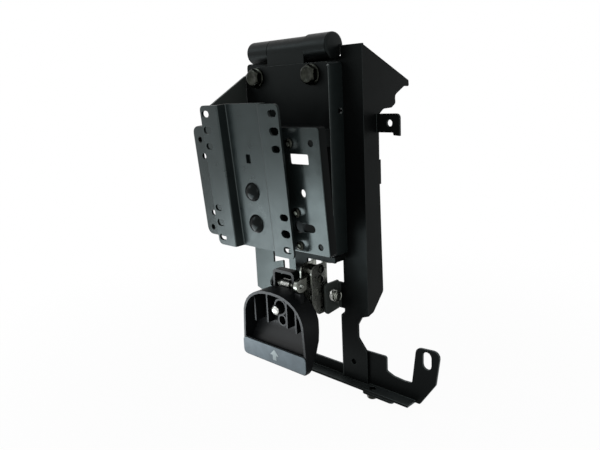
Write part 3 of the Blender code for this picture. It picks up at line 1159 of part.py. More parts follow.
def axle_spring():
    """Torsion spring round the paddle axle, one leg on the hanger and one on the yoke."""
    r = AXLE_COIL_R
    low = AXLE_Z - 1.9 * MM
    half = AXLE_TURNS * AXLE_PITCH / 2
    points = [(-half, AXLE_Y - r, low)]
    count = int(AXLE_TURNS * 8)
    for i in range(count + 1):
        share = i / count
        angle = math.pi - 2 * math.pi * AXLE_TURNS * share
        points.append((-half + 2 * half * share, AXLE_Y + r * math.cos(angle), AXLE_Z + r * math.sin(angle)))
    points.append((half, HANGER_FRONT - GAP, AXLE_Z + r))
    wire("paddle_spring", points, AXLE_WIRE_R, "spring")


clear_scene()
upright("right_upright", 1)
upright("left_upright", -1)
header()
sill()
hinge()
hinge_fasteners()
tray()
cheeks()
lean = lean_frame()
mid_plate(lean)
screen_plate(lean)
hanger()
latch_plates()
rotor()
pawl()
striker()
paddle()
axle_spring()
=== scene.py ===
"""Looks of a hinged carrier bracket: painted steel plates, zinc latch, moulded paddle, studio."""
import json
import math

import bmesh
import bpy
import numpy as np
from mathutils import Matrix, Vector

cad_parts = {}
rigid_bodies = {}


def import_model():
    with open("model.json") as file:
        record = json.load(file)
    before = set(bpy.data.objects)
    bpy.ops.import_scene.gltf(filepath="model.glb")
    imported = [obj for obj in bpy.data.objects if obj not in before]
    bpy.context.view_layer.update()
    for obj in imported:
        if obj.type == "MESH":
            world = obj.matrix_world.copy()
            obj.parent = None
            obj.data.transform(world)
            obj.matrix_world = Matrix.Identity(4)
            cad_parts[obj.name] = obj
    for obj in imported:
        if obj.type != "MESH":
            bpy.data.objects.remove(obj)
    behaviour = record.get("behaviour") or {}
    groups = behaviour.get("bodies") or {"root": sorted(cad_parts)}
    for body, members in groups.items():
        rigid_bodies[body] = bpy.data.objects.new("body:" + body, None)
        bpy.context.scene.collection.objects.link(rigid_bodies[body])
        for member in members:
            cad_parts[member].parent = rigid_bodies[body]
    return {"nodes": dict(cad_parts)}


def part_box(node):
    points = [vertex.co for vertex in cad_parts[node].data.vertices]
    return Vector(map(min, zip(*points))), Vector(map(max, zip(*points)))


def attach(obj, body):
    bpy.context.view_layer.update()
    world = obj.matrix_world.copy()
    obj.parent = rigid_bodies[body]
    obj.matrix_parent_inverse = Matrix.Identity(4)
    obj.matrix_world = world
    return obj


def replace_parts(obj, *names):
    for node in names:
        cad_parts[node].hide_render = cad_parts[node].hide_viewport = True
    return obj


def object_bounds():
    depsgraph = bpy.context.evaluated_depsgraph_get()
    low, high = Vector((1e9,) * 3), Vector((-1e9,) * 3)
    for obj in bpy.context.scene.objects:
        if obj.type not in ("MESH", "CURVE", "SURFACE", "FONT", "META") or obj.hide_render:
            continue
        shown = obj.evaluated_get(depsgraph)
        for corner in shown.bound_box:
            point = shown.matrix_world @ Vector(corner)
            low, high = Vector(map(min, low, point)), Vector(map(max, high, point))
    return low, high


bl_info = {
    "name": "Hinged carrier bracket",
    "version": (1, 0, 0),
    "blender": (4, 5, 0),
    "location": "View3D > Sidebar > Carrier",
    "description": "Dresses the carrier bracket's plates, hinge, latch and paddle",
    "category": "Object",
}

for leftover in list(bpy.data.objects):
    bpy.data.objects.remove(leftover, do_unlink=True)
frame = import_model()
CAD_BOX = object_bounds()
MM = 0.001
X, Y, Z = 0, 1, 2


# Sizes and colours that a user would change
class CarrierSizes(bpy.types.PropertyGroup):
    """Sizes of the softened edges, the paint's ripples and the wires."""
    sheet_edge: bpy.props.FloatProperty(
        name="Sheet edge", description="Radius on the edges of the punched plates",
        default=0.35 * MM, unit="LENGTH", precision=5)
    tray_edge: bpy.props.FloatProperty(
        name="Tray bend", description="Radius on the bends of the pressed tray",
        default=0.85 * MM, unit="LENGTH", precision=5)
    moulded_edge: bpy.props.FloatProperty(
        name="Moulded edge", description="Radius on the edges of the moulded paddle",
        default=0.6 * MM, unit="LENGTH", precision=5)
    peel: bpy.props.FloatProperty(
        name="Orange peel", description="Spacing of the ripples in the powder coat",
        default=1.1 * MM, unit="LENGTH", precision=5)
    striker_wire: bpy.props.FloatProperty(
        name="Striker wire", description="Wire radius of the spring beside the striker arm",
        default=0.42 * MM, unit="LENGTH", precision=5)
    paddle_wire: bpy.props.FloatProperty(
        name="Paddle wire", description="Wire radius of the paddle's torsion spring",
        default=0.58 * MM, unit="LENGTH", precision=5)


class CarrierColours(bpy.types.PropertyGroup):
    """Colours of the finishes, as seen in plain light; the rim grey, the arm grey and the bend highlight
    are painted light.
    """
    frame_paint: bpy.props.StringProperty(
        name="Frame paint", description="Black powder coat of frame, tray and hinge", default="#0C0D0D")
    # Painted light: grey on rims and bends as painted highlights, and on the sill's sides as painted light
    painted_light_grey: bpy.props.StringProperty(
        name="Thin paint", description="Powder coat where it is thin on rims and bends", default="#2A2E2E")
    plate_paint: bpy.props.StringProperty(
        name="Plate paint", description="Graphite powder coat of the front plates", default="#181D1D")
    # Painted light: lighter grey that stands for the light on the striker arm and the left gusset
    arm: bpy.props.StringProperty(
        name="Striker arm", description="Grey coat of the striker arm", default="#3A3E3C")
    # Painted highlight: pale line along the tray's bends
    bend_highlight: bpy.props.StringProperty(
        name="Worn bend", description="Paint rubbed pale along the tray's bends", default="#8E9392")
    zinc: bpy.props.StringProperty(
        name="Zinc", description="Zinc plating of the latch", default="#8F928B")
    dark_zinc: bpy.props.StringProperty(
        name="Black zinc", description="Blackened bolts, washers and rivets", default="#32342F")
    wire: bpy.props.StringProperty(
        name="Spring wire", description="Drawn wire of the springs", default="#D4D6D2")
    resin: bpy.props.StringProperty(
        name="Resin", description="Moulded paddle", default="#0F1112")
    label: bpy.props.StringProperty(
        name="Label", description="Strip across the foot of the paddle", default="#606B71")
    arrow: bpy.props.StringProperty(
        name="Arrow", description="Arrow on the strip", default="#A3ADAE")
    nylon: bpy.props.StringProperty(
        name="Nylon", description="Bush of the hinge", default="#CFC9B8")


# Colours and node trees
def linear(code):
    """sRGB hex code to linear red, green, blue and alpha."""
    channels = np.array([int(code[i:i + 2], 16) for i in (1, 3, 5)]) / 255.0
    low = channels / 12.92
    high = ((channels + 0.055) / 1.055) ** 2.4
    return (*np.where(channels <= 0.04045, low, high).tolist(), 1.0)


def shade(code, factor):
    """A colour made lighter or darker by a factor."""
    red, green, blue, alpha = linear(code)
    return (red * factor, green * factor, blue * factor, alpha)


def grey(value):
    """Linear grey, also used for a plain level."""
    return (value, value, value, 1.0)


def set_inputs(tree, node, inputs):
    """Sets a node's inputs by name or number; a value that is a socket is linked."""
    for key, value in inputs.items():
        if isinstance(value, bpy.types.NodeSocket):
            tree.links.new(value, node.inputs[key])
        else:
            node.inputs[key].default_value = value


def add_node(tree, kind, inputs=None, stops=(), **settings):
    """A node with its settings, its inputs and, on a colour ramp, its (position, colour) stops."""
    made = tree.nodes.new(kind)
    for key, value in settings.items():
        setattr(made, key, value)
    set_inputs(tree, made, inputs or {})
    if stops:
        elements = made.color_ramp.elements
        while len(elements) < len(stops):
            elements.new(0.5)
        for element, (position, colour) in zip(elements, stops):
            element.position = position
            element.color = colour
    return made


def new_finish(name):
    """An empty finish: its tree, its Principled shader and its Object coordinates."""
    made = bpy.data.materials.new(name)
    made.use_nodes = True
    tree = made.node_tree
    shader = tree.nodes["Principled BSDF"]
    place = add_node(tree, "ShaderNodeTexCoord").outputs["Object"]
    return made, tree, shader, place


# Squareness to front or back at which sides end, rims begin and end, and fronts begin
SIDE_END, RIM_START, RIM_END, FRONT_START = 0.4, 0.6, 0.84, 0.96


def facing(tree, side, rim, front):
    """Ramp over how squarely a surface faces front or back: sides, then rims, then fronts. On a coat's
    colour it paints light: paler rims are painted highlights, sides toned apart from fronts painted light
    and shade.
    """
    normal = add_node(tree, "ShaderNodeTexCoord").outputs["Normal"]
    parts = add_node(tree, "ShaderNodeSeparateXYZ", {0: normal})
    square = add_node(tree, "ShaderNodeMath", {0: parts.outputs["Y"]}, operation="ABSOLUTE")
    stops = ((SIDE_END, side), (RIM_START, rim), (RIM_END, rim), (FRONT_START, front))
    return add_node(tree, "ShaderNodeValToRGB", {"Fac": square.outputs[0]}, stops).outputs["Color"]


# Positions on a noise between which a soft pattern and a patchy one change
SOFT, PATCHY = (0.3, 0.7), (0.35, 0.65)
# Paint: handling marks and rubbed patches, what they do to tone and roughness; the cool tint of the studio
# light painted into its reflections; and the edge inside of which the striker arm is coloured lighter as
# painted light
MARK_SPACING, MARK_TONES = 28 * MM, (0.86, 1.0)
RUB_SPACING, RUB_ROUGH = 9 * MM, (-0.05, 0.06)
PEEL_STRENGTH = 0.35
PAINTED_REFLECTION_TINT = "#EAFFFD"
ARM_EDGE = 38.0 * MM
# Zinc: patches, and the grain of rolled steel, drawn coarser than it is so that it shows
PATCH_SPACING, PATCH_TONES, PATCH_ROUGH = 4 * MM, (0.4, 1.1), (0.1, -0.05)
ROLL_SPACING, ROLL_DEPTH, ROLL_STRENGTH = 0.4 * MM, 0.02 * MM, 0.2
ROLL_STRETCH = (1.0, 0.12, 1.0)
# Resin: flow clouds, and the grain of the eroded mould, drawn coarser than it is so that it shows
FLOW_SPACING, FLOW_TONES = 12 * MM, (0.85, 1.2)
SPARK_SPACING, SPARK_DEPTH, SPARK_STRENGTH = 0.55 * MM, 0.04 * MM, 0.4
SPARK_ROUGH = (-0.06, 0.06)
RESIN_IOR = 1.53


def powder_coat(name, side, rim, front, rough, peel, depth, arm=None):
    """Baked powder paint, shinier where thin on rims: faint handling marks, orange peel in the gloss. Its
    colour
    holds painted light: paler rims are painted highlights, sides toned apart from fronts painted light and
    shade.

    Side, rim and front are each a colour code and a specular level. Arm is the lighter grey that stands, as
    painted light, for the light on the striker arm, inside of the upright's web.
    """
    made, tree, shader, place = new_finish(name)
    # Painted light in the colour: rims paler as painted highlights, sides toned apart from fronts as
    # painted light and shade
    tone = facing(tree, *(linear(code) for code, level in (side, rim, front)))
    cloud = add_node(tree, "ShaderNodeTexNoise",
                     {"Vector": place, "Scale": 1 / MARK_SPACING, "Detail": 3.0})
    marks = add_node(tree, "ShaderNodeValToRGB", {"Fac": cloud.outputs["Fac"]},
                     [(stop, grey(level)) for stop, level in zip(SOFT, MARK_TONES)])
    coat = add_node(tree, "ShaderNodeVectorMath", {0: tone, 1: marks.outputs["Color"]},
                    operation="MULTIPLY").outputs[0]
    # Painted light: inside of the arm's edge the upright's colour is a lighter grey, for the light on the
    # striker arm
    if arm:
        across = add_node(tree, "ShaderNodeSeparateXYZ", {0: place}).outputs["X"]
        inside = add_node(tree, "ShaderNodeMath", {0: across, 1: ARM_EDGE}, operation="LESS_THAN")
        coat = add_node(tree, "ShaderNodeMix", {0: inside.outputs[0], 6: coat, 7: linear(arm)},
                        data_type="RGBA").outputs[2]
    rub = add_node(tree, "ShaderNodeTexNoise", {"Vector": place, "Scale": 1 / RUB_SPACING, "Detail": 4.0})
    gloss = add_node(tree, "ShaderNodeValToRGB", {"Fac": rub.outputs["Fac"]},
                     [(stop, grey(rough + change)) for stop, change in zip(SOFT, RUB_ROUGH)])
    grain = add_node(tree, "ShaderNodeTexNoise", {"Vector": place, "Scale": 1 / peel, "Detail": 2.0})
    bump = add_node(tree, "ShaderNodeBump", {"Height": grain.outputs["Fac"], "Strength": PEEL_STRENGTH,
                                             "Distance": depth})
    set_inputs(tree, shader, {
        "Base Color": coat,
        "Roughness": gloss.outputs["Color"],
        "Normal": bump.outputs["Normal"],
        "Specular IOR Level": facing(tree, *(grey(level) for code, level in (side, rim, front))),
        "Specular Tint": linear(PAINTED_REFLECTION_TINT)})
    return made


def zinc_plate(name, code, rough):
    """Zinc on pressed steel: metal with dull patches and a fine rolled grain that breaks its glints."""
    made, tree, shader, place = new_finish(name)
    cloud = add_node(tree, "ShaderNodeTexNoise",
                     {"Vector": place, "Scale": 1 / PATCH_SPACING, "Detail": 4.0})
    tone = add_node(tree, "ShaderNodeValToRGB", {"Fac": cloud.outputs["Fac"]},
                    [(stop, shade(code, factor)) for stop, factor in zip(PATCHY, PATCH_TONES)])
    gloss = add_node(tree, "ShaderNodeValToRGB", {"Fac": cloud.outputs["Fac"]},
                     [(stop, grey(rough + change)) for stop, change in zip(PATCHY, PATCH_ROUGH)])
    rolled = add_node(tree, "ShaderNodeMapping", {"Vector": place, "Scale": ROLL_STRETCH})
    roll = add_node(tree, "ShaderNodeTexNoise", {"Vector": rolled.outputs["Vector"],
                                                 "Scale": 1 / ROLL_SPACING, "Detail": 2.0})
    bump = add_node(tree, "ShaderNodeBump", {"Height": roll.outputs["Fac"], "Strength": ROLL_STRENGTH,
                                             "Distance": ROLL_DEPTH})
    set_inputs(tree, shader, {
        "Base Color": tone.outputs["Color"],
        "Roughness": gloss.outputs["Color"],
        "Normal": bump.outputs["Normal"],
        "Metallic": 1.0})
    return made


def moulded_resin(name, code, rough, side, rim, front):
    """Plastic from a spark-eroded mould: fine matt grain, and rims that the tool's polish leaves shinier.

    Side, rim and front are specular levels.
    """
    made, tree, shader, place = new_finish(name)
    cloud = add_node(tree, "ShaderNodeTexNoise",
                     {"Vector": place, "Scale": 1 / FLOW_SPACING, "Detail": 3.0})
    tone = add_node(tree, "ShaderNodeValToRGB", {"Fac": cloud.outputs["Fac"]},
                    [(stop, shade(code, factor)) for stop, factor in zip(SOFT, FLOW_TONES)])
    grain = add_node(tree, "ShaderNodeTexNoise",
                     {"Vector": place, "Scale": 1 / SPARK_SPACING, "Detail": 3.0})
    gloss = add_node(tree, "ShaderNodeValToRGB", {"Fac": grain.outputs["Fac"]},
                     [(stop, grey(rough + change)) for stop, change in zip(SOFT, SPARK_ROUGH)])
    bump = add_node(tree, "ShaderNodeBump", {"Height": grain.outputs["Fac"], "Strength": SPARK_STRENGTH,
                                             "Distance": SPARK_DEPTH})
    set_inputs(tree, shader, {
        "Base Color": tone.outputs["Color"],
        "Roughness": gloss.outputs["Color"],
        "Normal": bump.outputs["Normal"],
        "IOR": RESIN_IOR,
        "Specular IOR Level": facing(tree, grey(side), grey(rim), grey(front))})
    return made


FINISHES = {}


def finishes():
    """All finishes, made once."""
    if FINISHES:
        return FINISHES
    peel = bpy.context.scene.carrier_sizes.peel
    colours = bpy.context.scene.carrier_colours
    black, plate, lit_grey, arm = colours.frame_paint, colours.plate_paint, colours.painted_light_grey, colours.arm
    # Pale rim colour: a painted highlight along edges and bends
    highlight_rim = (lit_grey, 0.4)
    # Finish, paint, its sides, rims and fronts, roughness, and the depth of its ripples in millimetres
    coats = (
        ("black", "black_powder_coat", (black, 0.09), highlight_rim, (black, 0.09), 0.40, 0.03),
        ("upright", "black_upright_coat", (black, 0.06), highlight_rim, (black, 0.075), 0.40, 0.03),
        # Tray: sides in the plate grey as painted light, bends in the bend highlight as painted highlights
        ("tray", "black_tray_coat", (plate, 0.15), (colours.bend_highlight, 0.8), (black, 0.10), 0.40, 0.03),
        ("barrel", "black_barrel_coat", (black, 0.12), (black, 0.12), (black, 0.12), 0.36, 0.03),
        # Sill: sides in the rim grey as painted light
        ("sill", "black_sill_coat", (lit_grey, 0.3), highlight_rim, (black, 0.055), 0.40, 0.03),
        # Gusset: black part coloured all in the arm's lighter grey, as painted light
        ("gusset", "gusset_painted_light_coat", (arm, 0.12), highlight_rim, (arm, 0.12), 0.40, 0.03),
        ("plate", "graphite_powder_coat", (plate, 0.11), highlight_rim, (plate, 0.33), 0.32, 0.05),
        # Left upright: front in the plate graphite as painted light on a black part, sides black
        ("leg", "leg_painted_light_coat", (black, 0.09), highlight_rim, (plate, 0.52), 0.34, 0.05),
        # Mid plate: graphite front, sides black as painted shade, rims in the rim grey as painted highlight
        ("middle", "graphite_smooth_coat", (black, 0.04), (lit_grey, 0.3), (plate, 0.33), 0.21, 0.02),
        ("dome", "glossy_bolt_enamel", (black, 0.09), (black, 0.09), (black, 0.09), 0.22, 0.01))
    for finish, name, side, rim, front, rough, depth in coats:
        # Only the upright gets the arm's lighter grey, as painted light
        inner = arm if finish == "upright" else None
        FINISHES[finish] = powder_coat(name, side, rim, front, rough, peel, depth * MM, inner)
    FINISHES["bolt"] = zinc_plate("black_zinc_fastener", colours.dark_zinc, 0.18)
    FINISHES["zinc"] = zinc_plate("bright_zinc_plate", colours.zinc, 0.27)
    FINISHES["spring"] = zinc_plate("drawn_spring_wire", colours.wire, 0.22)
    FINISHES["resin"] = moulded_resin("moulded_black_abs", colours.resin, 0.40, 0.06, 0.45, 0.20)
    FINISHES["label"] = moulded_resin("printed_label_film", colours.label, 0.5, 0.3, 0.3, 0.3)
    FINISHES["arrow"] = moulded_resin("printed_arrow", colours.arrow, 0.5, 0.3, 0.3, 0.3)
    FINISHES["nylon"] = moulded_resin("natural_nylon", colours.nylon, 0.5, 0.3, 0.3, 0.3)
    return FINISHES


# CAD pieces that keep their shape
SHARP_BEND = math.radians(50.0)
WELD_REACH = 0.01 * MM
FLAT_ANGLE = math.radians(1.0)


def smooth_bends():
    """Node group that shades faces smooth and keeps every edge sharper than the limit sharp."""
    group = bpy.data.node_groups.get("smooth_bends")
    if group:
        return group
    group = bpy.data.node_groups.new("smooth_bends", "GeometryNodeTree")
    group.interface.new_socket("Geometry", in_out="INPUT", socket_type="NodeSocketGeometry")
    group.interface.new_socket("Geometry", in_out="OUTPUT", socket_type="NodeSocketGeometry")
    start = add_node(group, "NodeGroupInput").outputs[0]
    bend = add_node(group, "GeometryNodeInputMeshEdgeAngle").outputs["Unsigned Angle"]
    gentle = add_node(group, "FunctionNodeCompare", {"A": bend, "B": SHARP_BEND}, operation="LESS_THAN")
    faces = add_node(group, "GeometryNodeSetShadeSmooth", {"Geometry": start}, domain="FACE")
    edges = add_node(group, "GeometryNodeSetShadeSmooth",
                     {"Geometry": faces.outputs[0], "Shade Smooth": gentle.outputs[0]}, domain="EDGE")
    add_node(group, "NodeGroupOutput", {0: edges.outputs[0]})
    return group


def soften(name, width, angle=40.0, segments=2):
    """Welds a CAD piece's triangles, flattens its faces, rounds its sharp edges and smooths its bends."""
    piece = frame["nodes"][name]
    weld = piece.modifiers.new("weld", "WELD")
    weld.merge_threshold = WELD_REACH
    flat = piece.modifiers.new("flat", "DECIMATE")
    flat.decimate_type = "DISSOLVE"
    flat.angle_limit = FLAT_ANGLE
    edge = piece.modifiers.new("edge", "BEVEL")
    edge.width = width
    edge.segments = segments
    edge.limit_method = "ANGLE"
    edge.angle_limit = math.radians(angle)
    smooth = piece.modifiers.new("smooth", "NODES")
    smooth.node_group = smooth_bends()
    even = piece.modifiers.new("even", "WEIGHTED_NORMAL")
    even.keep_sharp = True


def paint(name, finish):
    """Gives a CAD piece its finish."""
    slots = frame["nodes"][name].data.materials
    slots.clear()
    slots.append(finishes()[finish])


# Surfaces worked out as grids
MERGE_REACH = 0.002 * MM
# Bend, in degrees, from which an edge stays crisp
ARROW_CRISP, HEX_CRISP, RING_CRISP, HEAD_CRISP, WIRE_CRISP = 20.0, 28.0, 35.0, 40.0, 60.0


def skin(name, grid, finish, body, crisp=RING_CRISP):
    """Mesh over a grid of points, its columns joined in a ring; rows that shrink to a point are closed."""
    rows, columns = grid.shape[:2]
    index = np.arange(rows * columns).reshape(rows, columns)
    beside = np.roll(index, -1, axis=1)
    faces = np.stack([index[:-1], beside[:-1], beside[1:], index[1:]], axis=-1).reshape(-1, 4)
    mesh = bpy.data.meshes.new(name)
    mesh.from_pydata(grid.reshape(-1, 3), [], faces.tolist())
    work = bmesh.new()
    work.from_mesh(mesh)
    bmesh.ops.remove_doubles(work, verts=work.verts[:], dist=MERGE_REACH)
    bmesh.ops.recalc_face_normals(work, faces=work.faces[:])
    work.to_mesh(mesh)
    work.free()
    mesh.shade_smooth()
    mesh.set_sharp_from_angle(angle=math.radians(crisp))
    mesh.materials.append(finishes()[finish])
    piece = bpy.data.objects.new(name, mesh)
    bpy.context.scene.collection.objects.link(piece)
    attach(piece, body)
    return piece


# Kinds of a profile's rows, and sizes in millimetres of what they cut: the thread's depth is a share
# of its pitch, and the flanks are the slopes of a crossed recess
ROUND, HEX, THREAD, CROSS = 0, 1, 2, 3
BOLT_FLATS, BOLT_PITCH = 13.0, 1.25
ROWS_PER_PITCH, CROSS_STEP = 5, 0.35
THREAD_DEPTH = 0.55
BLADE_FLANK, BLADE_END = 0.3, 0.5


def plain(*points):
    """Round rows of a profile from (along, radius) points in millimetres."""
    return [(along, radius, ROUND) for along, radius in points]


def threaded(start, end, radius, taper, tip):
    """Rows of a thread from start to end that tapers to the tip's radius, and the closed tip."""
    return [(start, radius, THREAD), (end - taper, radius, THREAD)] + plain((end, tip), (end, 0.0))


def dense(profile, step):
    """Profile rows (along, radius, kind) in millimetres, with rows added no further apart than the step."""
    rows = np.asarray(profile, float)
    run = np.concatenate([[0.0], np.cumsum(np.hypot(*np.diff(rows[:, :2], axis=0).T) + 1e-6)])
    extra = np.arange(0.0, run[-1], step)
    special = rows[np.searchsorted(run, extra, side="right") - 1, 2] >= THREAD
    places = np.unique(np.concatenate([run, extra[special]]))
    kinds = rows[np.clip(np.searchsorted(run, places, side="right") - 1, 0, len(rows) - 1), 2]
    return np.stack([np.interp(places, run, rows[:, 0]), np.interp(places, run, rows[:, 1]), kinds], axis=1)


def turned(profile, axes, place, sides=48, flats=BOLT_FLATS, pitch=BOLT_PITCH, recess=None):
    """Profile turned round an axis.

    The radius at an angle is the profile's, held inside a hexagon where the row is a hexagon's:
    half the width across flats over the cosine of the angle from the nearest flat. On a thread the
    radius falls by a triangle wave that climbs one pitch a turn. On a crossed head the surface sinks
    where the lesser of |x| and |y| is inside the blade and the greater inside its length.
    """
    rows = dense(profile, min(pitch / ROWS_PER_PITCH, CROSS_STEP))
    angle = np.linspace(0.0, 2 * np.pi, sides, endpoint=False)
    along = np.repeat(rows[:, :1], sides, axis=1)
    radius = np.repeat(rows[:, 1:2], sides, axis=1)
    kind = rows[:, 2:3]
    hexagon = flats / 2 / np.cos((angle + np.pi / 6) % (np.pi / 3) - np.pi / 6)
    radius = np.where(kind == HEX, np.minimum(radius, hexagon), radius)
    wave = np.abs((along / pitch - angle / (2 * np.pi)) % 1.0 - 0.5) * 2
    radius = np.where(kind == THREAD, radius - THREAD_DEPTH * pitch * wave, radius)
    if recess:
        width, length, depth = recess
        x, y = np.abs(radius * np.cos(angle)), np.abs(radius * np.sin(angle))
        blade = np.clip((width - np.minimum(x, y)) / BLADE_FLANK, 0, 1)
        sink = blade * np.clip((length - np.maximum(x, y)) / BLADE_END, 0, 1)
        along = np.where(kind == CROSS, along + depth * sink, along)
    across, upward, ahead = (np.asarray(axis, float) for axis in axes)
    local = (radius * np.cos(angle))[..., None] * across + (radius * np.sin(angle))[..., None] * upward
    return (local + along[..., None] * ahead) * MM + np.asarray(place)


def tube(line, radius, sides=12):
    """Circle carried along a line; its frame is the line's direction and the nearest square to X."""
    ahead = np.gradient(line, axis=0)
    ahead /= np.linalg.norm(ahead, axis=1, keepdims=True)
    guide = np.array([1.0, 0.02, 0.03])
    beside = guide - (ahead @ guide)[:, None] * ahead
    beside /= np.linalg.norm(beside, axis=1, keepdims=True)
    above = np.cross(ahead, beside)
    angle = np.linspace(0.0, 2 * np.pi, sides, endpoint=False)
    ring = np.cos(angle)[None, :, None] * beside[:, None] + np.sin(angle)[None, :, None] * above[:, None]
    body = line[:, None] + radius * ring
    ends = [np.repeat(line[end][None, None], sides, axis=1) for end in (0, -1)]
    return np.concatenate([ends[0], body, ends[1]])


POINTS_PER_TURN = 40


def helix(start, length, centre, radius, turns, first):
    """Points of a screw line along X: start to start plus length, its angle from first."""
    share = np.linspace(0.0, 1.0, int(turns * POINTS_PER_TURN) + 1)
    angle = first + 2 * np.pi * turns * share
    return np.stack([start + length * share, centre[0] + radius * np.cos(angle),
                     centre[1] + radius * np.sin(angle)], axis=1)


# Axes of the turned pieces: across, upward, ahead. The front plates lean, and their fasteners with them.
ALONG_X = ((0, 1, 0), (0, 0, 1), (1, 0, 0))
ALONG_Y = ((1, 0, 0), (0, 0, 1), (0, 1, 0))
ALONG_Z = ((1, 0, 0), (0, 1, 0), (0, 0, 1))
AGAINST_X = ((0, 1, 0), (0, 0, 1), (-1, 0, 0))
AGAINST_Y = ((1, 0, 0), (0, 0, 1), (0, -1, 0))
LEAN = math.radians(4.84)
ALONG_LEAN = ((1, 0, 0), (0, -math.sin(LEAN), math.cos(LEAN)), (0, math.cos(LEAN), math.sin(LEAN)))


def middle(node):
    """Middle of a CAD node's box at rest."""
    low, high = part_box(node)
    return (np.array(low) + np.array(high)) / 2


def seat(node, axis):
    """Low end of a CAD node that lies along an axis, and its length in millimetres."""
    low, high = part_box(node)
    place = middle(node)
    place[axis] = low[axis]
    return place, (high[axis] - low[axis]) / MM


def leaning_seat(node, axes):
    """Front end of a CAD node: its middle, slid along its own axis to the front of its box."""
    ahead = np.array(axes[2], float)
    centre = middle(node)
    return centre + ahead * (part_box(node)[0].y - centre[Y]) / ahead[Y]


# Plates
PLATE_FINISHES = (
    ("black", ("header_plate", "upper_standoff", "lower_standoff", "latch_hanger")),
    ("upright", ("right_upright",)),
    ("sill", ("sill_angle", "sill_tab")),
    ("barrel", ("fixed_leaf", "swing_leaf", "hinge_cap_left", "hinge_cap_right")),
    ("plate", ("screen_plate",)),
    ("leg", ("left_upright",)),
    ("gusset", ("left_gusset",)),
    ("middle", ("mid_plate",)),
    ("zinc", ("hinge_pin", "latch_plate_left", "latch_plate_right", "rotor", "pawl")),
    ("nylon", ("hinge_bush",)))
# Weld bead: its radius, its place from the right hinge cap's outer top, and its points
BEAD_R, BEAD_POINTS = 0.75 * MM, 12
BEAD_OUT, BEAD_DEPTH = 0.85 * MM, -3.3 * MM
BEAD_FOOT, BEAD_TOP = 20.0 * MM, 9.0 * MM


class CARRIER_OT_plates(bpy.types.Operator):
    """Paints the plates, the hinge and the latch plates, rounds their edges and lays the weld bead."""
    bl_idname = "carrier.plates"
    bl_label = "Dress the plates"

    def execute(self, context):
        sizes = context.scene.carrier_sizes
        for finish, plates in PLATE_FINISHES:
            for name in plates:
                paint(name, finish)
                soften(name, sizes.sheet_edge)
        paint("swing_tray", "tray")
        soften("swing_tray", sizes.tray_edge, segments=3)
        self.weld_bead()
        return {"FINISHED"}

    def weld_bead(self):
        """Bead of weld along the notch of the right upright beside the hinge: a round line up the edge."""
        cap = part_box("hinge_cap_right")[1]
        foot = (cap.x + BEAD_OUT, BEAD_DEPTH, cap.z - BEAD_FOOT)
        top = (cap.x + BEAD_OUT, BEAD_DEPTH, cap.z - BEAD_TOP)
        line = np.linspace(foot, top, BEAD_POINTS)
        skin("weld_bead", tube(line, BEAD_R), "black", "housing", WIRE_CRISP)


# Paddle: the arrow's outline, and its (height, share) levels from the strip to its closed top
PADDLE_BEND = 50.0
STRIP_EDGE = 0.2 * MM
ARROW_OUTLINE = np.array([(-2.1, -4.6), (2.1, -4.6), (2.1, -0.4), (4.9, -0.4), (0.0, 4.8), (-4.9, -0.4),
                          (-2.1, -0.4)])
ARROW_LEVELS = np.array([(0.0, 1.0), (0.2, 1.0), (0.28, 0.93), (0.28, 0.0)])
ARROW_ACROSS = 3.8
ARROW_SINK, ARROW_UP = 0.05 * MM, 0.6 * MM


class CARRIER_OT_paddle(bpy.types.Operator):
    """Dresses the moulded paddle, its strip and the raised arrow."""
    bl_idname = "carrier.paddle"
    bl_label = "Dress the paddle"

    def execute(self, context):
        paint("paddle", "resin")
        soften("paddle", context.scene.carrier_sizes.moulded_edge, PADDLE_BEND)
        paint("label_strip", "label")
        soften("label_strip", STRIP_EDGE)
        self.arrow()
        return {"FINISHED"}

    def arrow(self):
        """Upward arrow: an outline drawn in by a share, carried a quarter of a millimetre off the strip."""
        low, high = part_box("label_strip")
        flat = ARROW_OUTLINE[None] * ARROW_LEVELS[:, None, 1:]
        height = np.repeat(-ARROW_LEVELS[:, :1], len(ARROW_OUTLINE), axis=1)
        grid = np.stack([flat[..., 0] + ARROW_ACROSS, height, flat[..., 1]], axis=-1) * MM
        grid += np.array([0.0, low.y + ARROW_SINK, (low.z + high.z) / 2 + ARROW_UP])
        skin("strip_arrow", grid, "arrow", "paddle", ARROW_CRISP)


# Bolts, nuts and washers, in millimetres. Plain is where a shank's thread begins.
BOLT_R, BOLT_TAPER, BOLT_TIP_R = 4.0, 0.6, 3.2
HINGE_HEAD, HINGE_DISH, HINGE_PLAIN = 4.3, 0.45, 9.0
DOME_R, DOME_HEIGHT, DOME_ARC, DOME_EDGE = 7.5, 4.5, math.radians(62.0), 0.1
DOME_SEAT, DOME_PLAIN, DOME_LENGTH, DOME_NUT = 4.6, 9.2, 17.1, 6.5
DOME_ROWS = 12
# Hexagon heads: the dish and the cone's start as shares of half the flats, and the washer face's step
DISH_FLOOR, DISH_RIM, CONE_RIM = 0.55, 0.72, 0.9
CONE_DEPTH, CORNER_SPARE = 0.9, 0.05
FACE_STEP, FACE_IN = 0.25, 0.3
CONE_SHARES = np.linspace(0.0, 1.0, 6)
NUT_BORE, NUT_SINK_R, NUT_SINK = 4.35, 4.8, 0.4
NUT_FACE_R, NUT_FLARE = 5.9, 1.65
# Washer: the front rim's roundness as (along, inset), and the rear rim's chamfer
WASHER_R, WASHER_BORE, WASHER_T, WASHER_CHAMFER = 8.0, 4.4, 1.6, 0.3
WASHER_ROUND = ((0.0, 0.4), (0.2, 0.1), (0.45, 0.0))
# Small hexagon screws: shank radius, width across flats and head height
HANGER_SCREW = (2.0, 7.0, 2.8)
SILL_BOLT = (2.5, 8.0, 3.5)
SCREW_PITCH, SCREW_DISH, SCREW_LEAD, SCREW_TAPER = 0.7, 0.2, 0.3, 0.4


